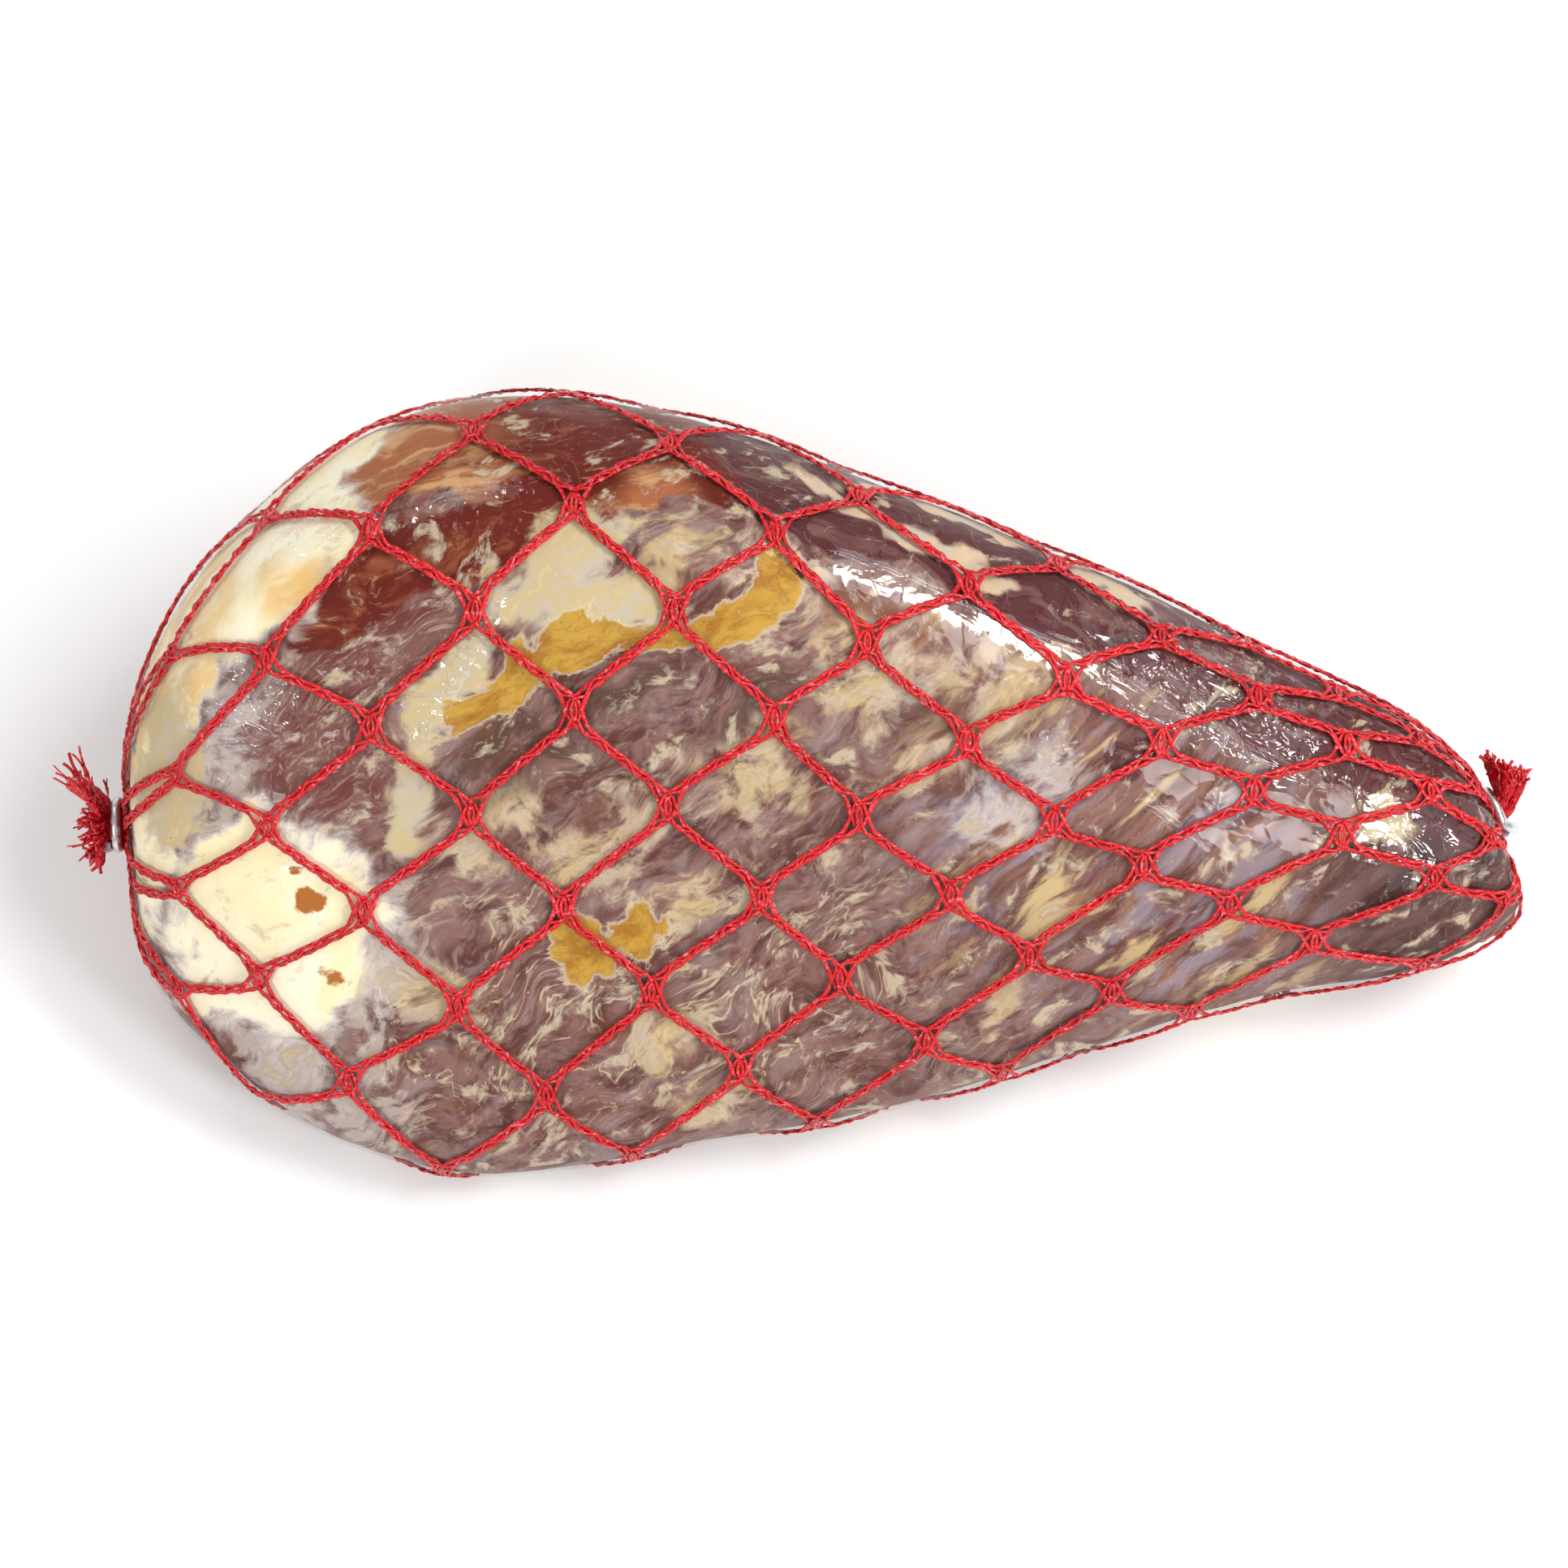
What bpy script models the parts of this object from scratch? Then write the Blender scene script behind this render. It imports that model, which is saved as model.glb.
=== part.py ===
"""A boneless serrano ham, vacuum packed in clear film, inside a knitted red net.

The net is gathered at the butt end (-X) and at the shank end (+X), and a bent wire clip closes each gather.
Shapes are drawn in the plane of the ham's broad face: "along" is the length, "across" runs up that face
and "out" is the direction that the face looks in. The face leans back FACE_LEAN from upright.
Every size is in metres, and the ham lies on the plane z = 0.
"""

import math
import random

import bmesh
import bpy
import numpy as np
from mathutils import Vector

OBJECT_NAME = "serrano_ham"

# The ham
FACE_LEAN = math.radians(20)
BUTT_TIP = (-0.1990, -0.0117)
SHANK_TIP = (0.1917, -0.0105)
# Upper and lower edge of the broad face, butt to shank, as (along, across)
UPPER_EDGE = (
    (-0.1970, 0.0260), (-0.1775, 0.0640), (-0.1435, 0.0948), (-0.0965, 0.1124), (-0.0380, 0.1060),
    (0.0205, 0.0858), (0.0790, 0.0628), (0.1305, 0.0386), (0.1655, 0.0220), (0.1835, 0.0085),
    (0.1900, -0.0005),
)
LOWER_EDGE = (
    (-0.1955, -0.0530), (-0.1755, -0.0790), (-0.1435, -0.1020), (-0.0965, -0.1138), (-0.0380, -0.1050),
    (0.0205, -0.0944), (0.0745, -0.0784), (0.1280, -0.0626), (0.1735, -0.0550), (0.1975, -0.0440),
    (0.2035, -0.0325),
)
# How far the ham bulges out of the plane of its edges and behind it
FRONT_BULGE = (0.022, 0.038, 0.049, 0.055, 0.056, 0.052, 0.045, 0.037, 0.030, 0.022, 0.013)
BACK_BULGE = (0.034, 0.062, 0.082, 0.092, 0.090, 0.076, 0.058, 0.042, 0.032, 0.024, 0.015)
# Where that plane lies, both tips included
EDGE_PLANE = (
    -0.007, -0.006, -0.003, -0.001, 0.000, 0.000, -0.003, -0.008, -0.013, -0.016, -0.017, -0.017, -0.017,
)
# Cross-section as (across, out), both from -1 to 1: a wedge in the body, rounder at the shank
BODY_SECTION = (
    (1.00, -0.02), (0.93, 0.45), (0.71, 0.90), (0.44, 1.00), (0.19, 0.91), (-0.28, 0.58), (-0.77, 0.19),
    (-0.96, -0.03), (-1.00, -0.17), (-0.93, -0.33), (-0.60, -0.55), (0.00, -0.83), (0.45, -1.00),
    (0.80, -0.85), (0.97, -0.44),
)
SHANK_SECTION = (
    (1.00, 0.00), (0.94, 0.50), (0.70, 0.88), (0.43, 1.00), (0.14, 0.97), (-0.32, 0.80), (-0.76, 0.44),
    (-0.95, 0.12), (-1.00, -0.08), (-0.94, -0.32), (-0.62, -0.76), (-0.05, -1.00), (0.45, -0.95),
    (0.80, -0.67), (0.97, -0.32),
)
# Ribs, counted from the butt tip, between which the body's section turns into the shank's
BODY_ENDS_AT_RIB = 4.5
SHANK_STARTS_AT_RIB = 8.0
# The table presses the underside flat at this height, and the skin curves up from it over this distance
TABLE_LEVEL = -0.0580
PRESS_SOFTNESS = 0.0060
SECTION_SAMPLES = 180
HAM_RINGS = 35
HAM_SIDES = 40

# The net
STRAND_WIDTH = 0.0026
STRAND_THICKNESS = 0.0013
STRAND_CLEARANCE = 0.0012
STRAND_SAG = 0.0006
MESH_COLUMNS = 10
# Where each ring of knots crosses the middle of the ham, and by how much the rings bow towards the shank
KNOT_RINGS = (
    -0.1830, -0.1565, -0.1275, -0.0985, -0.0710, -0.0437, -0.0155, 0.0095, 0.0378, 0.0643,
    0.0918, 0.1195, 0.1470, 0.1745, 0.1930,
)
RING_BOW = 0.0105
RING_BOW_PEAK = 0.165
RING_BOW_MIDDLE = 0.75
RING_BOW_FADES_NEAR_TIP = 0.050
EVEN_RING_PHASE = 0.015
# Towards the shank the net is dragged up the broad face, by up to this share of the girth
SHANK_DRAG = 0.075
DRAG_STARTS = 0.065
DRAG_IS_FULL = 0.175
DRAGGED_TURNS = (0.05, 0.47)
# Ribs from a tip that the last strands aim at, and that the spokes of the gather are read from
STRANDS_AIM_AT_RIB = 0.30
SPOKES_READ_AT_RIB = 0.15
# Small steps that directions on the skin are measured over
TURN_STEP = 0.01
RIB_STEP = 0.05
STRAND_STEP = 0.02

# The gathers: the net ends in a collar over each tip, and a frayed end starts a small gap further out
GATHER_RADIUS = 0.0040
COLLAR_HEIGHTS = (0.0025, 0.0034)
FRAY_STEM_HEIGHTS = (0.0038, 0.0084)
BUTT_GATHER_AXIS = (-1.0, -0.02, 0.02)
SHANK_GATHER_AXIS = (0.91, 0.40, 0.00)

# The frayed ends
TAIL_COUNT = 10
TAIL_QUADS = 4
TAIL_WIDTH = 0.0014
FRAY_SEED = 7
# The butt's tails burst apart. Each keeps some of the gather's direction, and the low ones more of it
BUTT_TAIL_LENGTH = (0.010, 0.019)
BUTT_TAIL_AHEAD = (0.1, 1.0)
BUTT_LOW_TAIL_AHEAD = 1.2
# The shank's tails turn up the broad face into a brush, the low ones round a wider bend
SHANK_TAIL_LENGTH = (0.011, 0.014)
SHANK_LOW_TAIL_EXTRA = 0.003
SHANK_TAIL_BEND_ENDS = 0.55
SHANK_TAIL_STARTS_AHEAD = 1.5
SHANK_TAIL_STARTS_OUT = 0.3
SHANK_TAIL_LEAN = (-0.10, 1.0, 0.05)
SHANK_BRUSH_AHEAD = 0.2
SHANK_BRUSH_SPREAD = 0.6

# The clips
WIRE_RADIUS = 0.0016
CLIP_RADIUS = 0.0066
CLIP_TURNS = 1.08
CLIP_OVERLAP_SHIFT = 0.0036
CLIP_SHIFT_STARTS = 0.82
CLIP_POINTS = 28
CLIP_HEIGHTS = (0.0048, 0.0056)

# The materials
MEAT_COLOUR = (0.23, 0.105, 0.085, 1)
FILM_ROUGHNESS = 0.22
NET_COLOUR = (0.70, 0.014, 0.022, 1)
NET_ROUGHNESS = 0.35
ALUMINIUM_COLOUR = (0.78, 0.78, 0.79, 1)
WIRE_ROUGHNESS = 0.35


def to_world(points):
    """Turns (along, across, out) into world coordinates."""
    along, across, out = np.moveaxis(np.asarray(points, float), -1, 0)
    lean_sin, lean_cos = math.sin(FACE_LEAN), math.cos(FACE_LEAN)
    return np.stack(
        (along, across * lean_cos - out * lean_sin, across * lean_sin + out * lean_cos), axis=-1
    )


def catmull_rom(knots, at):
    """The smooth curve through knots 1 to n - 2, where at = 0 is knot 1."""
    knots = np.asarray(knots, float)
    at = np.asarray(at, float)
    first = np.clip(np.floor(at).astype(int), 0, len(knots) - 4)
    t = (at - first)[..., None]
    a, b, c, d = (knots[first + step] for step in range(4))
    return 0.5 * (2 * b + (c - a) * t + (2 * a - 5 * b + 4 * c - d) * t**2 + (3 * b - a - 3 * c + d) * t**3)


def closed_curve(knots, at):
    """The smooth closed curve through the knots, where at = 0 is the first of them."""
    ring = [knots[-1], *knots, knots[0], knots[1]]
    return catmull_rom(ring, np.mod(at, len(knots)))


def bulge_at(values, rib):
    """A bulge on one rib. It is zero at both tips, which it meets steeply, so that they are round."""
    knots = (-values[0], 0, *values, 0, -values[-1])
    return catmull_rom(np.array(knots)[:, None], rib)[..., 0]


def edge_plane_at(rib):
    """Where the plane of the edges lies on one rib."""
    knots = (EDGE_PLANE[1], *EDGE_PLANE, EDGE_PLANE[-2])
    return catmull_rom(np.array(knots)[:, None], rib)[..., 0]


OUTLINE = np.array([BUTT_TIP, *UPPER_EDGE, SHANK_TIP, *reversed(LOWER_EDGE)])
LAST_RIB = len(UPPER_EDGE) + 1


def section(rib):
    """The ham's outline round one rib, in the world, as SECTION_SAMPLES points from the upper edge."""
    t = np.arange(SECTION_SAMPLES) / SECTION_SAMPLES * len(BODY_SECTION)
    blend = np.clip((rib - BODY_ENDS_AT_RIB) / (SHANK_STARTS_AT_RIB - BODY_ENDS_AT_RIB), 0, 1)
    blend = blend * blend * (3 - 2 * blend)
    shape = (1 - blend) * closed_curve(BODY_SECTION, t) + blend * closed_curve(SHANK_SECTION, t)
    upper, lower = closed_curve(OUTLINE, rib), closed_curve(OUTLINE, -rib)
    edges = (upper + lower) / 2 + (upper - lower) / 2 * shape[:, :1]
    bulge = np.where(shape[:, 1] > 0, bulge_at(FRONT_BULGE, rib), bulge_at(BACK_BULGE, rib))
    out = edge_plane_at(rib) + shape[:, 1] * bulge
    points = to_world(np.column_stack((edges, out)))
    height = points[:, 2] - TABLE_LEVEL
    eased = (height + PRESS_SOFTNESS) ** 2 / (4 * PRESS_SOFTNESS)
    pressed = np.where(height < -PRESS_SOFTNESS, 0, np.where(height > PRESS_SOFTNESS, height, eased))
    points[:, 2] = TABLE_LEVEL + pressed
    return points


def skin(rib, turn):
    """The skin's point on a rib, at a turn: the share of its girth from the upper edge, over the face."""
    points = section(rib)
    loop = np.vstack((points, points[:1]))
    lengths = np.concatenate(([0], np.cumsum(np.linalg.norm(np.diff(loop, axis=0), axis=1))))
    at = np.mod(turn, 1.0) * lengths[-1]
    return np.stack([np.interp(at, lengths, loop[:, axis]) for axis in range(3)], axis=-1)


def outward(rib, turn):
    """The skin's outward direction."""
    round_ham = skin(rib, turn + TURN_STEP) - skin(rib, turn - TURN_STEP)
    step = min(RIB_STEP, rib / 2, (LAST_RIB - rib) / 2)
    along_ham = skin(rib + step, turn) - skin(rib - step, turn)
    normal = np.cross(round_ham, along_ham)
    return normal / np.linalg.norm(normal)


def over_skin(rib, turn):
    """The middle of the net's thickness over the skin."""
    return skin(rib, turn) + outward(rib, turn) * (STRAND_CLEARANCE + STRAND_THICKNESS / 2)


def rib_at(along):
    """The rib whose middle is at this distance along the ham. Past the shank's bulge the ribs turn back."""
    ribs = np.linspace(0, LAST_RIB, 600)
    middles = (closed_curve(OUTLINE, ribs)[:, 0] + closed_curve(OUTLINE, -ribs)[:, 0]) / 2
    return float(np.interp(along, np.maximum.accumulate(middles), ribs))


def unit(vector):
    vector = np.asarray(vector, float)
    return vector / np.linalg.norm(vector)


def tip_point(end):
    """The point of the skin at the butt tip (end 0) or at the shank tip (end 1)."""
    along, across = SHANK_TIP if end else BUTT_TIP
    return to_world((along, across, EDGE_PLANE[-1] if end else EDGE_PLANE[0]))


def make_material(name, colour, roughness, metallic):
    material = bpy.data.materials.new(name)
    material.use_nodes = True
    shader = material.node_tree.nodes["Principled BSDF"]
    shader.inputs["Base Color"].default_value = colour
    shader.inputs["Roughness"].default_value = roughness
    shader.inputs["Metallic"].default_value = metallic
    return material


def add_object(name, data, material, collection):
    """Adds a mesh or a curve as one named object."""
    data.materials.append(material)
    obj = bpy.data.objects.new(name, data)
    collection.objects.link(obj)
    return obj


def add_mesh(name, shape, material, collection):
    """Turns a bmesh into one named object, shaded smooth."""
    bmesh.ops.recalc_face_normals(shape, faces=shape.faces)
    mesh = bpy.data.meshes.new(name)
    shape.to_mesh(mesh)
    shape.free()
    mesh.shade_smooth()
    return add_object(name, mesh, material, collection)


def add_sheet(name, sheet, material, collection):
    """Turns a bmesh sheet of flat strands into one named object with the strands' thickness."""
    obj = add_mesh(name, sheet, material, collection)
    thickness = obj.modifiers.new("strand_thickness", "SOLIDIFY")
    thickness.thickness = STRAND_THICKNESS
    thickness.offset = 0


def make_ham(collection):
    """A loft of rings from the butt tip to the shank tip."""
    shape = bmesh.new()
    rings = []
    for ring in range(1, HAM_RINGS + 1):
        rib = LAST_RIB * ring / (HAM_RINGS + 1)
        turns = np.arange(HAM_SIDES) / HAM_SIDES
        rings.append([shape.verts.new(point) for point in skin(rib, turns)])
    tips = [shape.verts.new(tip_point(end)) for end in (0, 1)]
    for first, second in zip(rings, rings[1:]):
        for side in range(HAM_SIDES):
            after = (side + 1) % HAM_SIDES
            shape.faces.new((first[side], first[after], second[after], second[side]))
    for side in range(HAM_SIDES):
        after = (side + 1) % HAM_SIDES
        shape.faces.new((tips[0], rings[0][after], rings[0][side]))
        shape.faces.new((tips[1], rings[-1][side], rings[-1][after]))
    add_mesh("ham_in_film", shape, make_material("ham_in_film", MEAT_COLOUR, FILM_ROUGHNESS, 0), collection)


def knot_place(ring, column):
    """The rib and the turn of one knot."""
    turn = EVEN_RING_PHASE + (column + 0.5 * (ring % 2)) / MESH_COLUMNS
    low, high = DRAGGED_TURNS
    drag = np.clip((KNOT_RINGS[ring] - DRAG_STARTS) / (DRAG_IS_FULL - DRAG_STARTS), 0, 1)
    over_face = np.clip((turn % 1 - low) / (high - low), 0, 1)
    turn -= float(SHANK_DRAG * drag * math.sin(math.pi * over_face))
    bow = RING_BOW * (math.cos(2 * math.pi * (turn - RING_BOW_PEAK)) - RING_BOW_MIDDLE)
    ends = (KNOT_RINGS[ring] - BUTT_TIP[0], SHANK_TIP[0] - KNOT_RINGS[ring])
    bow *= min(1.0, min(ends) / RING_BOW_FADES_NEAR_TIP)
    return rib_at(KNOT_RINGS[ring] + bow), turn


def make_knot(sheet, ring, column):
    """A small square on its corner, with vertices towards the butt, the shank, lower and higher turns."""
    rib, turn = knot_place(ring, column)
    centre, normal = over_skin(rib, turn), outward(rib, turn)
    to_shank = unit(np.cross(normal, skin(rib, turn + TURN_STEP) - skin(rib, turn - TURN_STEP)))
    round_ham = np.cross(to_shank, normal)
    reach = STRAND_WIDTH / math.sqrt(2)
    corners = {
        "butt": -to_shank, "shank": to_shank, "before": -round_ham, "after": round_ham,
    }
    verts = {name: sheet.verts.new(centre + reach * way) for name, way in corners.items()}
    sheet.faces.new((verts["butt"], verts["after"], verts["shank"], verts["before"]))
    return {"rib": rib, "turn": turn, "verts": verts}


def quad_count(rib_a, turn_a, rib_b, turn_b):
    """How many flat quads keep a strand's chords within STRAND_SAG of the skin."""
    span = np.linalg.norm(skin(rib_b, turn_b) - skin(rib_a, turn_a))
    bend = math.acos(np.clip(outward(rib_a, turn_a) @ outward(rib_b, turn_b), -1, 1))
    return int(np.clip(math.ceil(math.sqrt(span * bend / (8 * STRAND_SAG))), 2, 5))


def add_strip(sheet, edges):
    """Joins a list of two-vertex edges with quads."""
    for (a, b), (c, d) in zip(edges, edges[1:]):
        sheet.faces.new((a, b, d, c))


def between(start, end, share):
    """The rib and the turn at a share of the way from one place to another."""
    return (start[0] + (end[0] - start[0]) * share, start[1] + (end[1] - start[1]) * share)


def make_strand(sheet, start, start_edge, end, end_edge, count, widths):
    """A flat strand over the skin between two places, from one two-vertex edge to another."""
    edges = [start_edge]
    for step in range(1, count):
        share = step / count
        rib, turn = between(start, end, share)
        centre, normal = over_skin(rib, turn), outward(rib, turn)
        ahead = skin(*between(start, end, share + STRAND_STEP))
        heading = ahead - skin(*between(start, end, share - STRAND_STEP))
        aside = unit(np.cross(normal, heading)) * (widths[0] + (widths[1] - widths[0]) * share) / 2
        edges.append((sheet.verts.new(centre + aside), sheet.verts.new(centre - aside)))
    edges.append(end_edge)
    add_strip(sheet, edges)


def gather_frame(end):
    """The gather's axis and the two directions across it, the first of them up the broad face."""
    axis = unit(to_world(SHANK_GATHER_AXIS if end else BUTT_GATHER_AXIS))
    up_face = unit(to_world((0, 1, 0)) - axis * (to_world((0, 1, 0)) @ axis))
    return axis, up_face, np.cross(axis, up_face)


def make_tube(sheet, end, turns, heights):
    """A short tube round the gather's axis. Returns its two rings of vertices, at heights over the tip."""
    axis, up_face, sideways = gather_frame(end)
    tip = tip_point(end)
    rib = LAST_RIB - SPOKES_READ_AT_RIB if end else SPOKES_READ_AT_RIB
    rings = ([], [])
    for turn in turns:
        spoke = skin(rib, turn) - tip
        spoke = unit(up_face * (spoke @ up_face) + sideways * (spoke @ sideways))
        for ring, height in zip(rings, heights):
            ring.append(sheet.verts.new(tip + axis * height + spoke * GATHER_RADIUS))
    for k in range(len(turns)):
        after = (k + 1) % len(turns)
        sheet.faces.new((rings[0][k], rings[0][after], rings[1][after], rings[1][k]))
    return rings


def gather_turns(end):
    """The turns of a gather's vertices: one before each knot of the last ring, and one at the knot."""
    ring = len(KNOT_RINGS) - 1 if end else 0
    turns = [knot_place(ring, column)[1] for column in range(MESH_COLUMNS)]
    return [turn - shift for turn in turns for shift in (0.5 / MESH_COLUMNS, 0)]


def close_net(sheet, end, knots):
    """Leads two strands from each knot of the last ring into a collar over the tip."""
    collar = make_tube(sheet, end, gather_turns(end), COLLAR_HEIGHTS)[0]
    tip_rib = LAST_RIB - STRANDS_AIM_AT_RIB if end else STRANDS_AIM_AT_RIB
    corner = "shank" if end else "butt"
    for index, knot in enumerate(knots):
        for side, name in ((0, "before"), (1, "after")):
            slot = 2 * index + side
            target = (tip_rib, knot["turn"] + (side - 0.5) * 0.5 / MESH_COLUMNS)
            edge = [knot["verts"][name], knot["verts"][corner]]
            collar_edge = [collar[slot], collar[(slot + 1) % len(collar)]]
            if side:
                edge.reverse()
            if not end:
                edge.reverse()
                collar_edge.reverse()
            start = (knot["rib"], knot["turn"])
            count = quad_count(*start, *target) + (0 if end else 1)
            make_strand(sheet, start, edge, target, collar_edge, count, (STRAND_WIDTH, TAIL_WIDTH))


def make_net(collection):
    """A lattice of flat strands and knots over the skin."""
    sheet = bmesh.new()
    rings = []
    for ring in range(len(KNOT_RINGS)):
        rings.append([make_knot(sheet, ring, column) for column in range(MESH_COLUMNS)])
    for ring, (knots, next_knots) in enumerate(zip(rings, rings[1:])):
        for column, knot in enumerate(knots):
            for way in (-1, 1):
                shift = (way - 1) // 2 if ring % 2 == 0 else (way + 1) // 2
                other = next_knots[(column + shift) % MESH_COLUMNS]
                start = (knot["rib"], knot["turn"])
                end = (other["rib"], other["turn"] + round(knot["turn"] - other["turn"]))
                if way > 0:
                    start_edge = (knot["verts"]["shank"], knot["verts"]["after"])
                    end_edge = (other["verts"]["before"], other["verts"]["butt"])
                else:
                    start_edge = (knot["verts"]["before"], knot["verts"]["shank"])
                    end_edge = (other["verts"]["butt"], other["verts"]["after"])
                count = quad_count(*start, *end)
                make_strand(sheet, start, start_edge, end, end_edge, count, (STRAND_WIDTH, STRAND_WIDTH))
    close_net(sheet, 0, rings[0])
    close_net(sheet, 1, rings[-1])
    add_sheet("net", sheet, make_material("net", NET_COLOUR, NET_ROUGHNESS, 0), collection)


def make_tail(sheet, edge, first_way, last_way, length, bend_ends):
    """A frayed strand that starts along one direction, and by a share of its length runs along another."""
    low, high = (np.array(vert.co) for vert in edge)
    centre, edges = (low + high) / 2, [edge]
    across = unit(high - low)
    for step in range(1, TAIL_QUADS + 1):
        share = min(1.0, step / TAIL_QUADS / bend_ends)
        way = unit((1 - share) * np.array(first_way) + share * np.array(last_way))
        centre = centre + way * length / TAIL_QUADS
        across = unit(across - way * (across @ way))
        half = across * TAIL_WIDTH / 2
        edges.append((sheet.verts.new(centre - half), sheet.verts.new(centre + half)))
    add_strip(sheet, edges)


def make_butt_tail(sheet, edge, spoke, draw):
    """A tail of the burst at the butt, from the edge that lies along its spoke."""
    axis, up_face, _ = gather_frame(0)
    below = max(0.0, -(spoke @ up_face))
    ahead = draw.uniform(*BUTT_TAIL_AHEAD) + BUTT_LOW_TAIL_AHEAD * below
    make_tail(sheet, edge, axis, spoke + axis * ahead, draw.uniform(*BUTT_TAIL_LENGTH), 1.0)


def make_shank_tail(sheet, edge, spoke, draw):
    """A tail of the brush at the shank, from the edge that lies along its spoke."""
    axis, up_face, sideways = gather_frame(1)
    height, aside = spoke @ up_face, spoke @ sideways
    first_way = axis * (SHANK_TAIL_STARTS_AHEAD - height) + spoke * SHANK_TAIL_STARTS_OUT
    spread = sideways * aside - axis * height
    last_way = unit(to_world(SHANK_TAIL_LEAN)) + axis * SHANK_BRUSH_AHEAD + spread * SHANK_BRUSH_SPREAD
    length = draw.uniform(*SHANK_TAIL_LENGTH) + SHANK_LOW_TAIL_EXTRA * (1 - height)
    make_tail(sheet, edge, first_way, last_way, length, SHANK_TAIL_BEND_ENDS)


def make_fray(name, end, draw, collection):
    """A stem through the clip, and the tails that it frays into."""
    sheet = bmesh.new()
    ring = make_tube(sheet, end, gather_turns(end), FRAY_STEM_HEIGHTS)[1]
    axis, tip = gather_frame(end)[0], tip_point(end)
    for tail in range(TAIL_COUNT):
        first = tail * len(ring) // TAIL_COUNT
        edge = (ring[first], ring[(first + 1) % len(ring)])
        spoke = np.array(edge[0].co + edge[1].co) / 2 - tip
        spoke = unit(spoke - axis * (spoke @ axis))
        if end:
            make_shank_tail(sheet, edge, spoke, draw)
        else:
            make_butt_tail(sheet, edge, spoke, draw)
    add_sheet(name, sheet, make_material(name, NET_COLOUR, NET_ROUGHNESS, 0), collection)


def make_clip(name, end, collection):
    """A wire bent once round the gather. Below it, its last end passes the first on the outer side."""
    axis, up_face, sideways = gather_frame(end)
    curve = bpy.data.curves.new(name, "CURVE")
    curve.dimensions = "3D"
    curve.bevel_depth = WIRE_RADIUS
    curve.bevel_resolution = 2
    curve.use_fill_caps = True
    wire = curve.splines.new("POLY")
    wire.points.add(CLIP_POINTS - 1)
    centre = tip_point(end) + axis * CLIP_HEIGHTS[end]
    for index, point in enumerate(wire.points):
        share = index / (CLIP_POINTS - 1)
        angle = 2 * math.pi * CLIP_TURNS * (share - 0.5)
        ring = (up_face * math.cos(angle) + sideways * math.sin(angle)) * CLIP_RADIUS
        shift = max(0.0, (share - CLIP_SHIFT_STARTS) / (1 - CLIP_SHIFT_STARTS))
        shift = CLIP_OVERLAP_SHIFT * shift * (2 - shift)
        point.co = (*(centre + ring + axis * shift), 1)
    add_object(name, curve, make_material(name, ALUMINIUM_COLOUR, WIRE_ROUGHNESS, 1), collection)


def stand_on_origin(collection):
    """Parents the pieces to an empty that puts the middle of the underside of their box at the origin."""
    bpy.context.view_layer.update()
    depsgraph = bpy.context.evaluated_depsgraph_get()
    corners = []
    for obj in collection.objects:
        mesh = bpy.data.meshes.new_from_object(obj.evaluated_get(depsgraph))
        corners += [tuple(vert.co) for vert in mesh.vertices]
        bpy.data.meshes.remove(mesh)
    corners = np.array(corners)
    low, high = corners.min(axis=0), corners.max(axis=0)
    base = bpy.data.objects.new(f"{OBJECT_NAME}_base", None)
    base.location = Vector((-(low[0] + high[0]) / 2, -(low[1] + high[1]) / 2, -low[2]))
    for obj in list(collection.objects):
        obj.parent = base
    collection.objects.link(base)


def main():
    for obj in list(bpy.data.objects):
        bpy.data.objects.remove(obj, do_unlink=True)
    collection = bpy.data.collections.new(OBJECT_NAME)
    bpy.context.scene.collection.children.link(collection)
    make_ham(collection)
    make_net(collection)
    draw = random.Random(FRAY_SEED)
    make_fray("fray_butt", 0, draw, collection)
    make_fray("fray_shank", 1, draw, collection)
    make_clip("clip_butt", 0, collection)
    make_clip("clip_shank", 1, collection)
    stand_on_origin(collection)


main()
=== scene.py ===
"""The looks of a boneless serrano ham in clear film and a knitted red net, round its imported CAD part.

Shapes are drawn as in the part's source: "along" is the ham's length, "across" runs up its broad face and
"out" is the direction that the face looks in. A place on the skin is a rib, counted from the butt tip, and a
turn, the share of the girth from the upper edge over the broad face. Sizes are in metres, apart from those
of the zones of the meat and the film, which are in millimetres as the camera sees them.
"""

import math

import bpy
import numpy as np
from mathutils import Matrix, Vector


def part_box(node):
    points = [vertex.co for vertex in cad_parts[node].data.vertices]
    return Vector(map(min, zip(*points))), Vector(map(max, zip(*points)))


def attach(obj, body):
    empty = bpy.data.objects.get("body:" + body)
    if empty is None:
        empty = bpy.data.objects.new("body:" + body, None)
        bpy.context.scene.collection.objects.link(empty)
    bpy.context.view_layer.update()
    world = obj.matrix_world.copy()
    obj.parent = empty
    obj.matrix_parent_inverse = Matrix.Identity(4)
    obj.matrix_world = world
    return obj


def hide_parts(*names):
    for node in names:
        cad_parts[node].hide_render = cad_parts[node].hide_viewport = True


WHOLE_TURN = 2 * math.pi

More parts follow.
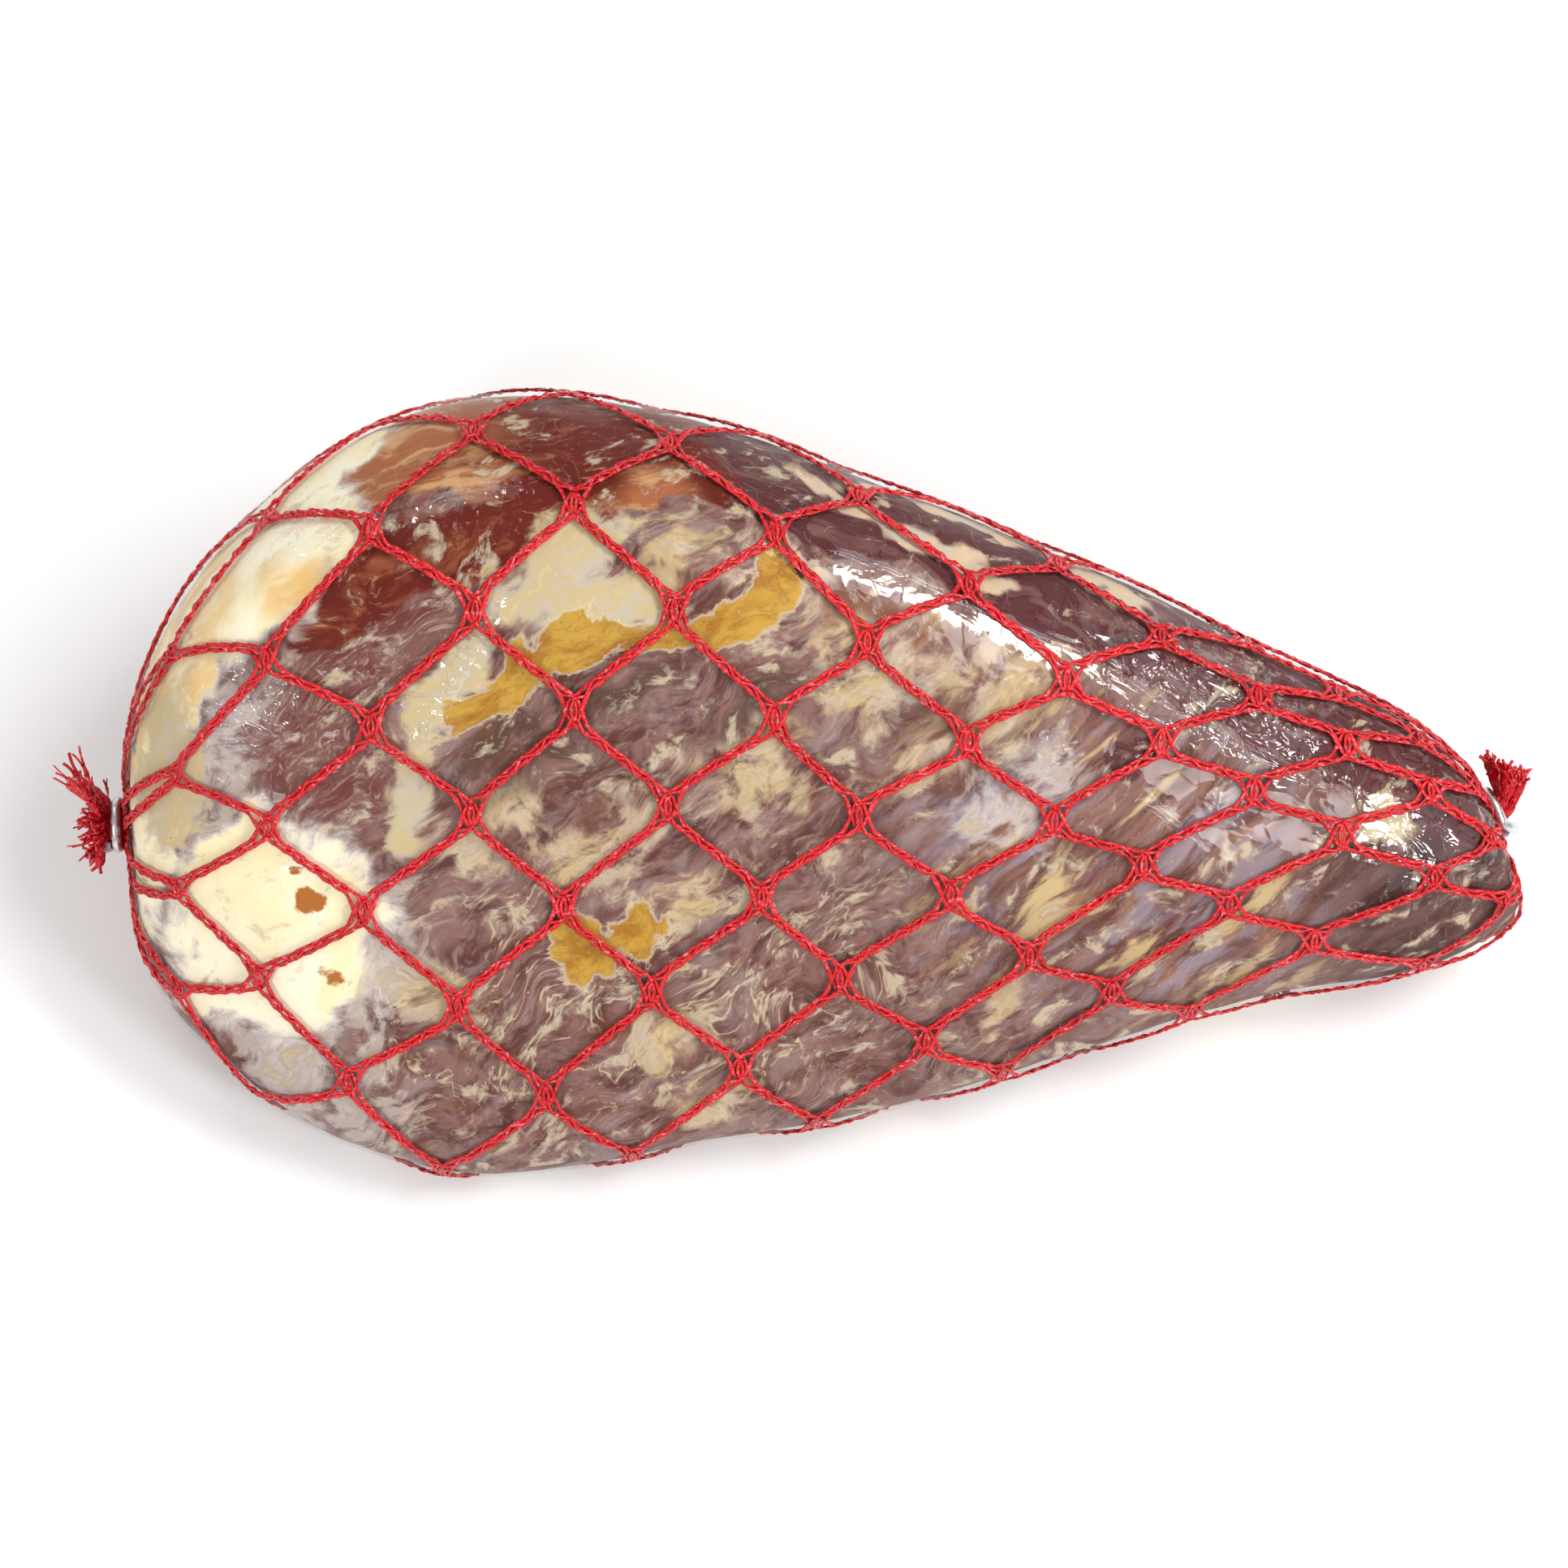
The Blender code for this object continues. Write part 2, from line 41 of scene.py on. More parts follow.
# The ham's shape, as in the part's source
FACE_LEAN = math.radians(20)
LEAN_SIN = math.sin(FACE_LEAN)
LEAN_COS = math.cos(FACE_LEAN)
BUTT_TIP = (-0.1990, -0.0117)
SHANK_TIP = (0.1917, -0.0105)
UPPER_EDGE = (
    (-0.1970, 0.0260), (-0.1775, 0.0640), (-0.1435, 0.0948), (-0.0965, 0.1124), (-0.0380, 0.1060),
    (0.0205, 0.0858), (0.0790, 0.0628), (0.1305, 0.0386), (0.1655, 0.0220), (0.1835, 0.0085),
    (0.1900, -0.0005),
)
LOWER_EDGE = (
    (-0.1955, -0.0530), (-0.1755, -0.0790), (-0.1435, -0.1020), (-0.0965, -0.1138), (-0.0380, -0.1050),
    (0.0205, -0.0944), (0.0745, -0.0784), (0.1280, -0.0626), (0.1735, -0.0550), (0.1975, -0.0440),
    (0.2035, -0.0325),
)
FRONT_BULGE = (0.022, 0.038, 0.049, 0.055, 0.056, 0.052, 0.045, 0.037, 0.030, 0.022, 0.013)
BACK_BULGE = (0.034, 0.062, 0.082, 0.092, 0.090, 0.076, 0.058, 0.042, 0.032, 0.024, 0.015)
EDGE_PLANE = (
    -0.007, -0.006, -0.003, -0.001, 0.000, 0.000, -0.003, -0.008, -0.013, -0.016, -0.017, -0.017, -0.017,
)
BODY_SECTION = (
    (1.00, -0.02), (0.93, 0.45), (0.71, 0.90), (0.44, 1.00), (0.19, 0.91), (-0.28, 0.58), (-0.77, 0.19),
    (-0.96, -0.03), (-1.00, -0.17), (-0.93, -0.33), (-0.60, -0.55), (0.00, -0.83), (0.45, -1.00),
    (0.80, -0.85), (0.97, -0.44),
)
SHANK_SECTION = (
    (1.00, 0.00), (0.94, 0.50), (0.70, 0.88), (0.43, 1.00), (0.14, 0.97), (-0.32, 0.80), (-0.76, 0.44),
    (-0.95, 0.12), (-1.00, -0.08), (-0.94, -0.32), (-0.62, -0.76), (-0.05, -1.00), (0.45, -0.95),
    (0.80, -0.67), (0.97, -0.32),
)
BODY_ENDS_AT_RIB = 4.5
SHANK_STARTS_AT_RIB = 8.0
TABLE_LEVEL = -0.0580
PRESS_SOFTNESS = 0.0060
SECTION_SAMPLES = 360
CAD_RINGS = 35
CAD_SIDES = 40

# The net's knots, gathers and clips, as in the part's source
MESH_COLUMNS = 10
KNOT_RINGS = (
    -0.1830, -0.1565, -0.1275, -0.0985, -0.0710, -0.0437, -0.0155, 0.0095, 0.0378, 0.0643,
    0.0918, 0.1195, 0.1470, 0.1745, 0.1930,
)
LAST_RING = len(KNOT_RINGS) - 1
RING_BOW = 0.0105
RING_BOW_PEAK = 0.165
RING_BOW_MIDDLE = 0.75
RING_BOW_FADES_NEAR_TIP = 0.050
EVEN_RING_PHASE = 0.015
SHANK_DRAG = 0.075
DRAG_STARTS = 0.065
DRAG_IS_FULL = 0.175
DRAGGED_TURNS = (0.05, 0.47)
BUTT_GATHER_AXIS = (-1.0, -0.02, 0.02)
SHANK_GATHER_AXIS = (0.91, 0.40, 0.00)
WIRE_RADIUS = 0.0016
CLIP_RADIUS = 0.0066
CLIP_TURNS = 1.08
CLIP_OVERLAP_SHIFT = 0.0036
CLIP_SHIFT_STARTS = 0.82
CLIP_HEIGHTS = (0.0048, 0.0056)

# The fine lattice of the skin, and the meat and the film made on it
RIB_CELLS = 480
TURN_CELLS = 720
MEAT_RINGS = 288
MEAT_SIDES = 336
MEAT_BELOW_SKIN = 0.0006
FILM_GAP = 0.0004
PLEAT_HEIGHT = 0.00036
SEED = 11

# The camera
CAMERA_ELEVATION = math.radians(70)
CAMERA_DISTANCE = 1.256
CAMERA_AIM = (-0.0108, 0.0, 0.0)
LENS_MM = 100
SENSOR_MM = 36


def to_world(points):
    """Turns (along, across, out) into the part's coordinates, before it is stood on the origin."""
    along, across, out = np.moveaxis(np.asarray(points, float), -1, 0)
    return np.stack((along, across * LEAN_COS - out * LEAN_SIN, across * LEAN_SIN + out * LEAN_COS), axis=-1)


def to_face(points):
    """Turns the part's coordinates back into (along, across, out)."""
    x, y, z = np.moveaxis(np.asarray(points, float), -1, 0)
    return np.stack((x, y * LEAN_COS + z * LEAN_SIN, z * LEAN_COS - y * LEAN_SIN), axis=-1)


def catmull_rom(knots, at):
    """The smooth curve through knots 1 to n - 2, where at = 0 is knot 1."""
    knots = np.asarray(knots, float)
    at = np.asarray(at, float)
    first = np.clip(np.floor(at).astype(int), 0, len(knots) - 4)
    t = (at - first)[..., None]
    a, b, c, d = (knots[first + step] for step in range(4))
    return 0.5 * (2 * b + (c - a) * t + (2 * a - 5 * b + 4 * c - d) * t**2 + (3 * b - a - 3 * c + d) * t**3)


def closed_curve(knots, at):
    """The smooth closed curve through the knots, where at = 0 is the first of them."""
    ring = [knots[-1], *knots, knots[0], knots[1]]
    return catmull_rom(ring, np.mod(at, len(knots)))


def bulge_at(values, rib):
    """A bulge on one rib, zero at both tips."""
    knots = (-values[0], 0, *values, 0, -values[-1])
    return catmull_rom(np.array(knots)[:, None], rib)[..., 0]


def edge_plane_at(rib):
    """Where the plane of the edges lies on one rib."""
    knots = (EDGE_PLANE[1], *EDGE_PLANE, EDGE_PLANE[-2])
    return catmull_rom(np.array(knots)[:, None], rib)[..., 0]


OUTLINE = np.array([BUTT_TIP, *UPPER_EDGE, SHANK_TIP, *reversed(LOWER_EDGE)])
LAST_RIB = len(UPPER_EDGE) + 1


def smooth(value, low, high):
    """0 below low, 1 above high and an S-shaped rise in between. It falls if low is above high."""
    share = np.clip((np.asarray(value, float) - low) / (high - low), 0, 1)
    return share * share * (3 - 2 * share)


def unit(vectors):
    """Vectors of length 1."""
    vectors = np.asarray(vectors, float)
    return vectors / np.maximum(np.linalg.norm(vectors, axis=-1, keepdims=True), 1e-12)


def distances(points):
    """How far each point of a line is from its start, along the line."""
    return np.concatenate(([0], np.cumsum(np.linalg.norm(np.diff(points, axis=0), axis=1))))


def section(rib, samples):
    """The ham's outline round one rib, as points from the upper edge."""
    t = np.arange(samples) / samples * len(BODY_SECTION)
    blend = smooth(rib, BODY_ENDS_AT_RIB, SHANK_STARTS_AT_RIB)
    shape = (1 - blend) * closed_curve(BODY_SECTION, t) + blend * closed_curve(SHANK_SECTION, t)
    upper, lower = closed_curve(OUTLINE, rib), closed_curve(OUTLINE, -rib)
    edges = (upper + lower) / 2 + (upper - lower) / 2 * shape[:, :1]
    bulge = np.where(shape[:, 1] > 0, bulge_at(FRONT_BULGE, rib), bulge_at(BACK_BULGE, rib))
    out = edge_plane_at(rib) + shape[:, 1] * bulge
    points = to_world(np.column_stack((edges, out)))
    height = points[:, 2] - TABLE_LEVEL
    eased = (height + PRESS_SOFTNESS) ** 2 / (4 * PRESS_SOFTNESS)
    pressed = np.where(height < -PRESS_SOFTNESS, 0, np.where(height > PRESS_SOFTNESS, height, eased))
    points[:, 2] = TABLE_LEVEL + pressed
    return points


def skin_ring(rib, turns, samples):
    """Points of the skin on one rib, at shares of its girth from the upper edge."""
    points = section(rib, samples)
    loop = np.vstack((points, points[:1]))
    lengths = distances(loop)
    at = np.mod(turns, 1.0) * lengths[-1]
    return np.stack([np.interp(at, lengths, loop[:, axis]) for axis in range(3)], axis=-1)


def tip_point(end):
    """The skin's point at the butt tip (end 0) or at the shank tip (end 1)."""
    along, across = SHANK_TIP if end else BUTT_TIP
    return to_world((along, across, EDGE_PLANE[-1] if end else EDGE_PLANE[0]))


def part_shift():
    """How far the part's source moves the ham to stand it on the origin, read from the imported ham's box."""
    turns = np.arange(CAD_SIDES) / CAD_SIDES
    ribs = LAST_RIB * np.arange(1, CAD_RINGS + 1) / (CAD_RINGS + 1)
    points = np.vstack([skin_ring(rib, turns, SECTION_SAMPLES // 2) for rib in ribs])
    low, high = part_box("ham_in_film")
    return (np.array(low) + np.array(high) - points.min(axis=0) - points.max(axis=0)) / 2


class Skin:
    """The ham's skin as a fine lattice of points and outward directions, read smoothly in between."""

    def __init__(self):
        turns = np.linspace(0, 1, TURN_CELLS + 1)
        ribs = np.linspace(0, LAST_RIB, RIB_CELLS + 1)
        rings = [skin_ring(rib, turns, SECTION_SAMPLES) for rib in ribs]
        rings[0][:], rings[-1][:] = tip_point(0), tip_point(1)
        self.points = np.array(rings)
        round_ham = np.roll(self.points[:, :-1], -1, axis=1) - np.roll(self.points[:, :-1], 1, axis=1)
        round_ham = np.concatenate((round_ham, round_ham[:, :1]), axis=1)
        normals = np.cross(round_ham, np.gradient(self.points, axis=0))
        normals[0], normals[-1] = normals[1].mean(axis=0), normals[-2].mean(axis=0)
        self.normals = unit(normals)
        steps = np.linalg.norm(np.diff(self.points, axis=1), axis=2)
        self.girths = steps.sum(axis=1)
        self.ribs = ribs

    def read(self, lattice, rib, turn):
        """The lattice's value at places on the skin."""
        r = np.clip(np.asarray(rib, float) / LAST_RIB, 0, 1) * RIB_CELLS
        t = np.mod(np.asarray(turn, float), 1.0) * TURN_CELLS
        r, t = np.broadcast_arrays(r, t)
        row, column = np.minimum(r.astype(int), RIB_CELLS - 1), np.minimum(t.astype(int), TURN_CELLS - 1)
        down, right = (r - row)[..., None], (t - column)[..., None]
        upper = lattice[row, column] * (1 - right) + lattice[row, column + 1] * right
        lower = lattice[row + 1, column] * (1 - right) + lattice[row + 1, column + 1] * right
        return upper * (1 - down) + lower * down

    def point(self, rib, turn):
        return self.read(self.points, rib, turn)

    def normal(self, rib, turn):
        return unit(self.read(self.normals, rib, turn))

    def girth(self, rib):
        return np.interp(rib, self.ribs, self.girths)


def knot_place(ring, column):
    """The rib and the turn of one knot of the net."""
    turn = EVEN_RING_PHASE + (column + 0.5 * (ring % 2)) / MESH_COLUMNS
    low, high = DRAGGED_TURNS
    drag = np.clip((KNOT_RINGS[ring] - DRAG_STARTS) / (DRAG_IS_FULL - DRAG_STARTS), 0, 1)
    over_face = np.clip((turn % 1 - low) / (high - low), 0, 1)
    turn -= float(SHANK_DRAG * drag * math.sin(math.pi * over_face))
    bow = RING_BOW * (math.cos(WHOLE_TURN * (turn - RING_BOW_PEAK)) - RING_BOW_MIDDLE)
    ends = (KNOT_RINGS[ring] - BUTT_TIP[0], SHANK_TIP[0] - KNOT_RINGS[ring])
    bow *= min(1.0, min(ends) / RING_BOW_FADES_NEAR_TIP)
    ribs = np.linspace(0, LAST_RIB, 600)
    middles = (closed_curve(OUTLINE, ribs)[:, 0] + closed_curve(OUTLINE, -ribs)[:, 0]) / 2
    return float(np.interp(KNOT_RINGS[ring] + bow, np.maximum.accumulate(middles), ribs)), turn


def gather_frame(end):
    """A gather's axis and the two directions across it, the first of them up the broad face."""
    axis = unit(to_world(SHANK_GATHER_AXIS if end else BUTT_GATHER_AXIS))
    up_face = unit(to_world((0, 1, 0)) - axis * (to_world((0, 1, 0)) @ axis))
    return axis, up_face, np.cross(axis, up_face)


# Smooth random relief

def ripples(points, length, seed, waves=14):
    """Smooth random relief from -1 to 1, whose bumps are about this long, as a sum of sine waves."""
    draw = np.random.default_rng(SEED * 100 + seed)
    ways = unit(draw.normal(size=(waves, 3))) * WHOLE_TURN / length
    ways *= draw.uniform(0.6, 1.5, size=(waves, 1))
    return np.sin(points @ ways.T + draw.uniform(0, WHOLE_TURN, waves)).sum(axis=-1) / math.sqrt(waves * 2)


def patch(view, u, v, length, width, angle=0.0, edge=0.55):
    """1 inside an ellipse that the camera sees, and 0 outside. The length and the width are half of each."""
    turned = math.radians(angle)
    shifted = view - np.array((u, v))
    along = shifted[:, 0] * math.cos(turned) + shifted[:, 1] * math.sin(turned)
    across = shifted[:, 1] * math.cos(turned) - shifted[:, 0] * math.sin(turned)
    distance = np.hypot(along / length, across / width)
    return smooth(distance, 1 + edge, 1 - edge)


def patches(view, *rows):
    """The union of several patches."""
    return np.max([patch(view, *row) for row in rows], axis=0)


# Meshes

def loft(name, points):
    """A closed mesh through the points of grid_places, closed at both tips."""
    index = np.arange(len(points)).reshape(MEAT_RINGS, MEAT_SIDES)
    after = np.roll(index, -1, axis=1)
    faces = np.stack((index[:-1], after[:-1], after[1:], index[1:]), axis=-1).reshape(-1, 4).tolist()
    butt, shank = len(points), len(points) + 1
    faces += [(butt, b, a) for a, b in zip(index[0].tolist(), after[0].tolist())]
    faces += [(shank, a, b) for a, b in zip(index[-1].tolist(), after[-1].tolist())]
    mesh = bpy.data.meshes.new(name)
    mesh.from_pydata(np.vstack((points, tip_point(0), tip_point(1))) + SHIFT, [], faces)
    mesh.shade_smooth()
    return mesh


def add_field(mesh, name, values):
    """Stores one number a vertex for the materials to read."""
    field = mesh.attributes.new(name, "FLOAT", "POINT")
    field.data.foreach_set("value", np.asarray(values, np.float32))


def link(thing):
    """Puts an object into the scene."""
    bpy.context.scene.collection.objects.link(thing)


def add_piece(name, data, material, node_names):
    """Adds a mesh that rides on the ham's one body and stands for nodes of the CAD part."""
    piece = bpy.data.objects.new(name, data)
    data.materials.append(material)
    link(piece)
    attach(piece, "root")
    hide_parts(*node_names)
    return piece


class Ribbons:
    """Flat tapes gathered into one mesh."""

    def __init__(self):
        self.verts, self.faces, self.shades, self.count = [], [], [], 0

    def add(self, centres, normals, widths, thickness, rolls, shade):
        """One tape along a line of centres. Each roll, in radians, tilts it about its own length."""
        centres = np.asarray(centres, float)
        count = len(centres)
        ahead = unit(np.gradient(centres, axis=0))
        aside = unit(np.cross(normals, ahead))
        above = np.cross(ahead, aside)
        rolls = np.broadcast_to(rolls, count)[:, None]
        across = aside * np.cos(rolls) + above * np.sin(rolls)
        raised = above * np.cos(rolls) - aside * np.sin(rolls)
        half_width = np.broadcast_to(widths, count)[:, None] / 2
        half_thick = np.broadcast_to(thickness, count)[:, None] / 2
        corners = [
            centres + across * half_width * side + raised * half_thick * level
            for side, level in ((-1, -1), (1, -1), (1, 1), (-1, 1))
        ]
        base = self.count
        ring = np.arange(4)
        start = (base + 4 * np.arange(count - 1))[:, None]
        after = (ring + 1) % 4
        quads = np.stack((start + ring, start + after, start + 4 + after, start + 4 + ring), axis=-1)
        last = base + 4 * (count - 1)
        self.faces += [(base + 3, base + 2, base + 1, base), (last, last + 1, last + 2, last + 3)]
        self.faces += quads.reshape(-1, 4).tolist()
        self.verts.append(np.stack(corners, axis=1).reshape(-1, 3))
        self.shades.append(np.full(4 * count, shade))
        self.count += 4 * count

    def mesh(self, name):
        mesh = bpy.data.meshes.new(name)
        mesh.from_pydata(np.vstack(self.verts) + SHIFT, [], self.faces)
        add_field(mesh, "shade", np.concatenate(self.shades))
        mesh.shade_smooth()
        return mesh


# Materials

def rgb(red, green, blue):
    """A linear colour from red, green and blue of 0 to 255 as a screen shows them."""
    screen = np.array((red, green, blue)) / 255
    linear = np.where(screen <= 0.04045, screen / 12.92, ((screen + 0.055) / 1.055) ** 2.4)
    return (*linear.tolist(), 1.0)


class Graph:
    """The nodes of one material, with short names for the steps that are used often."""

    def __init__(self, name):
        self.material = bpy.data.materials.new(name)
        self.material.use_nodes = True
        self.tree = self.material.node_tree
        self.shader = self.tree.nodes["Principled BSDF"]
        self.output = self.tree.nodes["Material Output"]

    def put(self, socket, value):
        if isinstance(value, bpy.types.NodeSocket):
            self.tree.links.new(value, socket)
        else:
            socket.default_value = value

    def add(self, kind, inputs, **settings):
        node = self.tree.nodes.new("ShaderNode" + kind)
        for name, value in settings.items():
            setattr(node, name, value)
        for key, value in inputs.items():
            self.put(node.inputs[key], value)
        return node

    def surface(self, inputs):
        """Sets inputs of the material's shader."""
        for name, value in inputs.items():
            self.put(self.shader.inputs[name], value)

    def place(self):
        """Where a point is, in the piece's own coordinates."""
        return self.add("TexCoord", {}).outputs["Object"]

    def face_place(self):
        """Where a point is, as (along, across, out)."""
        turn = {"Vector": self.place(), "Rotation": (-FACE_LEAN, 0, 0)}
        return self.add("Mapping", turn).outputs["Vector"]

    def grain(self, place, angle, length, width, detail, roughness, distortion=0.0):
        """Noise whose features are this long and wide, at an angle on the broad face."""
        turn = {"Vector": place, "Rotation": (0, 0, -math.radians(angle))}
        turned = self.add("Mapping", turn).outputs["Vector"]
        scale = {"Vector": turned, "Scale": (1 / length, 1 / width, 1 / width)}
        noise = {
            "Vector": self.add("Mapping", scale).outputs["Vector"], "Scale": 1.0,
            "Detail": detail, "Roughness": roughness, "Distortion": distortion,
        }
        return self.add("TexNoise", noise).outputs["Fac"]

    def field(self, name):
        return self.add("Attribute", {}, attribute_name=name).outputs["Fac"]

    def math(self, operation, a, b=0.0, c=0.0):
        return self.add("Math", {0: a, 1: b, 2: c}, operation=operation).outputs[0]

    def vector(self, operation, inputs):
        return self.add("VectorMath", inputs, operation=operation).outputs[0]

    def rise(self, value, low, high, top=1.0, bottom=0.0):
        """bottom at low, top at high and an S-shaped rise in between."""
        inputs = {"Value": value, "From Min": low, "From Max": high, "To Min": bottom, "To Max": top}
        return self.add("MapRange", inputs, interpolation_type="SMOOTHSTEP").outputs["Result"]

    def fall(self, value, low, high, top=1.0):
        """top at low, 0 at high and an S-shaped fall in between."""
        return self.rise(value, low, high, 0.0, top)

    def mix(self, share, a, b):
        return self.add("Mix", {0: share, 6: a, 7: b}, data_type="RGBA").outputs[2]

    def tint(self, colour, other, value, low, high, top=1.0):
        """A colour that turns into another as the value rises."""
        return self.mix(self.rise(value, low, high, top), colour, other)

    def lines(self, value, width, top=1.0):
        """Thin lines where the value crosses its middle."""
        away = self.math("ABSOLUTE", self.math("SUBTRACT", value, 0.5))
        return self.fall(away, 0.0, width, top)

    def shifted(self, place, size, reach):
        """Coordinates that wander by up to about a fifth of the reach, in curls of this size."""
        curls = {"Vector": place, "Scale": 1 / size, "Detail": 1.0}
        drift = self.add("TexNoise", curls).outputs["Color"]
        drift = self.vector("SUBTRACT", {0: drift, 1: (0.5, 0.5, 0.5)})
        return self.vector("ADD", {0: place, 1: self.vector("SCALE", {0: drift, 3: reach})})

    def bump(self, height, depth, normal=None):
        inputs = {"Height": height, "Distance": depth, "Strength": 1.0}
        if normal is not None:
            inputs["Normal"] = normal
        return self.add("Bump", inputs).outputs["Normal"]


MAUVE = rgb(139, 101, 94)
PURPLE_BROWN = rgb(96, 56, 52)
BROWN = rgb(108, 63, 41)
GREY_LILAC = rgb(166, 146, 144)
PALE_FIBRE = rgb(200, 174, 156)
VEIN = rgb(224, 204, 168)
PALE_YELLOW = rgb(214, 188, 136)
PALE_CREAM = rgb(216, 198, 172)
SOFT_WHITE = rgb(222, 212, 206)
LILAC = rgb(156, 142, 154)
OCHRE = rgb(172, 122, 70)
LEAN_RED = rgb(104, 30, 20)
LEAN_ORANGE = rgb(172, 102, 64)
LEAN_TAN = rgb(218, 174, 124)
LEAN_MAUVE = rgb(112, 56, 50)
DARK_LEAN = rgb(92, 48, 50)
RED_LINE = rgb(76, 14, 18)
UMBER = rgb(130, 82, 54)
CREAM = rgb(255, 247, 220)
CREAM_YELLOW = rgb(250, 236, 190)
IVORY_ORANGE = rgb(238, 196, 128)
STRIP_FAT = rgb(218, 186, 150)
TALLOW = rgb(206, 184, 134)
TALLOW_PALE = rgb(200, 187, 168)
GOLD = rgb(166, 110, 30)
GOLD_PALE = rgb(198, 156, 66)
DARK_SPOT = rgb(86, 60, 52)
STAIN = rgb(180, 110, 46)
SHANK_PURPLE = rgb(72, 42, 40)
WHITE_SPECK = rgb(240, 236, 230)
TAPE_RED = rgb(190, 0, 10)
TAPE_BRIGHT = rgb(222, 22, 34)
# The tape's painted highlight and painted shade, put into its colour as fine specks
TAPE_PAINTED_HIGHLIGHT = rgb(246, 136, 146)
TAPE_PAINTED_SHADE = rgb(150, 0, 8)
WIRE_DARK = rgb(196, 197, 200)
WIRE_PALE = rgb(226, 227, 229)
FLOOR_COLOUR = (0.97, 0.97, 0.97, 1)

# The film's reflection where it clings, what it gains where it is free, and the most that it may be
CLINGING_SHINE = 0.3
FREE_SHINE = 1.9
MOST_SHINE = 0.16


def zone_value(graph, name, ragged, wobble, weight=1.0):
    """A zone's field, pushed up and down by the ragged noise."""
    pushed = graph.math("MULTIPLY", graph.math("SUBTRACT", ragged, 0.5), wobble)
    return graph.math("MULTIPLY_ADD", graph.field(name), weight, pushed)


def zone(graph, name, ragged, wobble, soft):
    """A zone's mask whose edge wanders with the ragged noise and blurs over a soft border."""
    return graph.rise(zone_value(graph, name, ragged, wobble), 0.5 - soft, 0.5 + soft)


def cloud_zone(graph, name, cloudy, top):
    """A zone's mask that is torn into clouds, with a few stray ones outside."""
    return graph.rise(zone_value(graph, name, cloudy, 3.6, 0.66), 0.08, 0.92, top)


def spot_zone(graph, name, cloudy):
    """A zone's mask that is torn into ragged spots, with none outside."""
    torn = graph.rise(zone_value(graph, name, cloudy, 3.2), 0.42, 0.82)
    return graph.math("MULTIPLY", torn, graph.rise(graph.field(name), 0.02, 0.30))


def marbled_lean(graph, curled, cloudy):
    """The mauve lean of the broad face, with lilac clouds, brown streaks, pale veins and cream blotches."""
    grain = graph.grain(curled, 38, 0.016, 0.0056, 6, 0.66)
    clouds = graph.grain(curled, 35, 0.026, 0.014, 6, 0.64)
    colour = graph.tint(PURPLE_BROWN, MAUVE, grain, 0.38, 0.60)
    colour = graph.tint(colour, GREY_LILAC, clouds, 0.48, 0.68, 0.55)
    streaks = graph.grain(curled, 36, 0.022, 0.0070, 6, 0.64)
    colour = graph.tint(colour, BROWN, streaks, 0.52, 0.68, 0.7)
    colour = graph.mix(graph.fall(streaks, 0.32, 0.47, 0.45), colour, GREY_LILAC)
    fibres = graph.grain(curled, 44, 0.012, 0.0014, 4, 0.6)
    colour = graph.tint(colour, PALE_FIBRE, fibres, 0.52, 0.74, 0.35)
    branches = graph.lines(graph.grain(curled, 57, 0.030, 0.0075, 3, 0.55), 0.030, 0.95)
    branches = graph.math("MULTIPLY", branches, graph.rise(cloudy, 0.42, 0.58))
    branches = graph.math("MULTIPLY", branches, graph.field("veined"))
    colour = graph.mix(branches, colour, VEIN)
    pale = graph.tint(PALE_CREAM, PALE_YELLOW, clouds, 0.42, 0.58)
    return graph.mix(cloud_zone(graph, "blotches", cloudy, 0.9), colour, pale)


def streaked_shank(graph, drawn, colour):
    """Diagonal streaks of ochre, cream and lilac on the shank half, and its darker smooth end."""
    long_streaks = graph.grain(drawn, 46, 0.070, 0.0095, 6, 0.6)
    short_streaks = graph.grain(drawn, 45, 0.034, 0.0046, 6, 0.62)
    streaked = graph.tint(PURPLE_BROWN, MAUVE, short_streaks, 0.38, 0.60)
    streaked = graph.tint(streaked, OCHRE, short_streaks, 0.55, 0.70, 0.6)
    streaked = graph.tint(streaked, LILAC, long_streaks, 0.50, 0.62, 0.7)
    streaked = graph.mix(graph.fall(long_streaks, 0.37, 0.46, 0.8), streaked, PALE_YELLOW)
    streaked = graph.mix(graph.lines(long_streaks, 0.016, 0.6), streaked, UMBER)
    colour = graph.mix(graph.field("streaks"), colour, streaked)
    smooth_end = graph.tint(SHANK_PURPLE, MAUVE, long_streaks, 0.45, 0.66, 0.45)
    smooth_end = graph.tint(smooth_end, UMBER, short_streaks, 0.56, 0.72, 0.4)
    return graph.mix(graph.field("smooth_shank"), colour, smooth_end)


def red_lean(graph, curled):
    """The brown-red lean along the upper edge: orange and tan towards the contour, with pale streaks."""
    grain = graph.grain(curled, 18, 0.036, 0.0060, 6, 0.62)
    orange = graph.tint(LEAN_ORANGE, LEAN_TAN, grain, 0.44, 0.64, 0.8)
    red = graph.tint(LEAN_RED, LEAN_ORANGE, grain, 0.50, 0.70, 0.6)
    colour = graph.mix(graph.field("orange"), red, orange)
    colour = graph.mix(graph.lines(grain, 0.012, 0.45), colour, LEAN_RED)
    flecks = graph.grain(curled, 20, 0.014, 0.0015, 4, 0.6)
    return graph.tint(colour, LEAN_TAN, flecks, 0.58, 0.76, 0.55)


def dark_lean(graph, curled):
    """The dark grey-purple lean of the upper slope, crossed by dark red lines."""
    grain = graph.grain(curled, -28, 0.040, 0.0050, 6, 0.62)
    colour = graph.tint(DARK_LEAN, MAUVE, grain, 0.48, 0.68, 0.6)
    return graph.mix(graph.lines(grain, 0.022, 0.8), colour, RED_LINE)


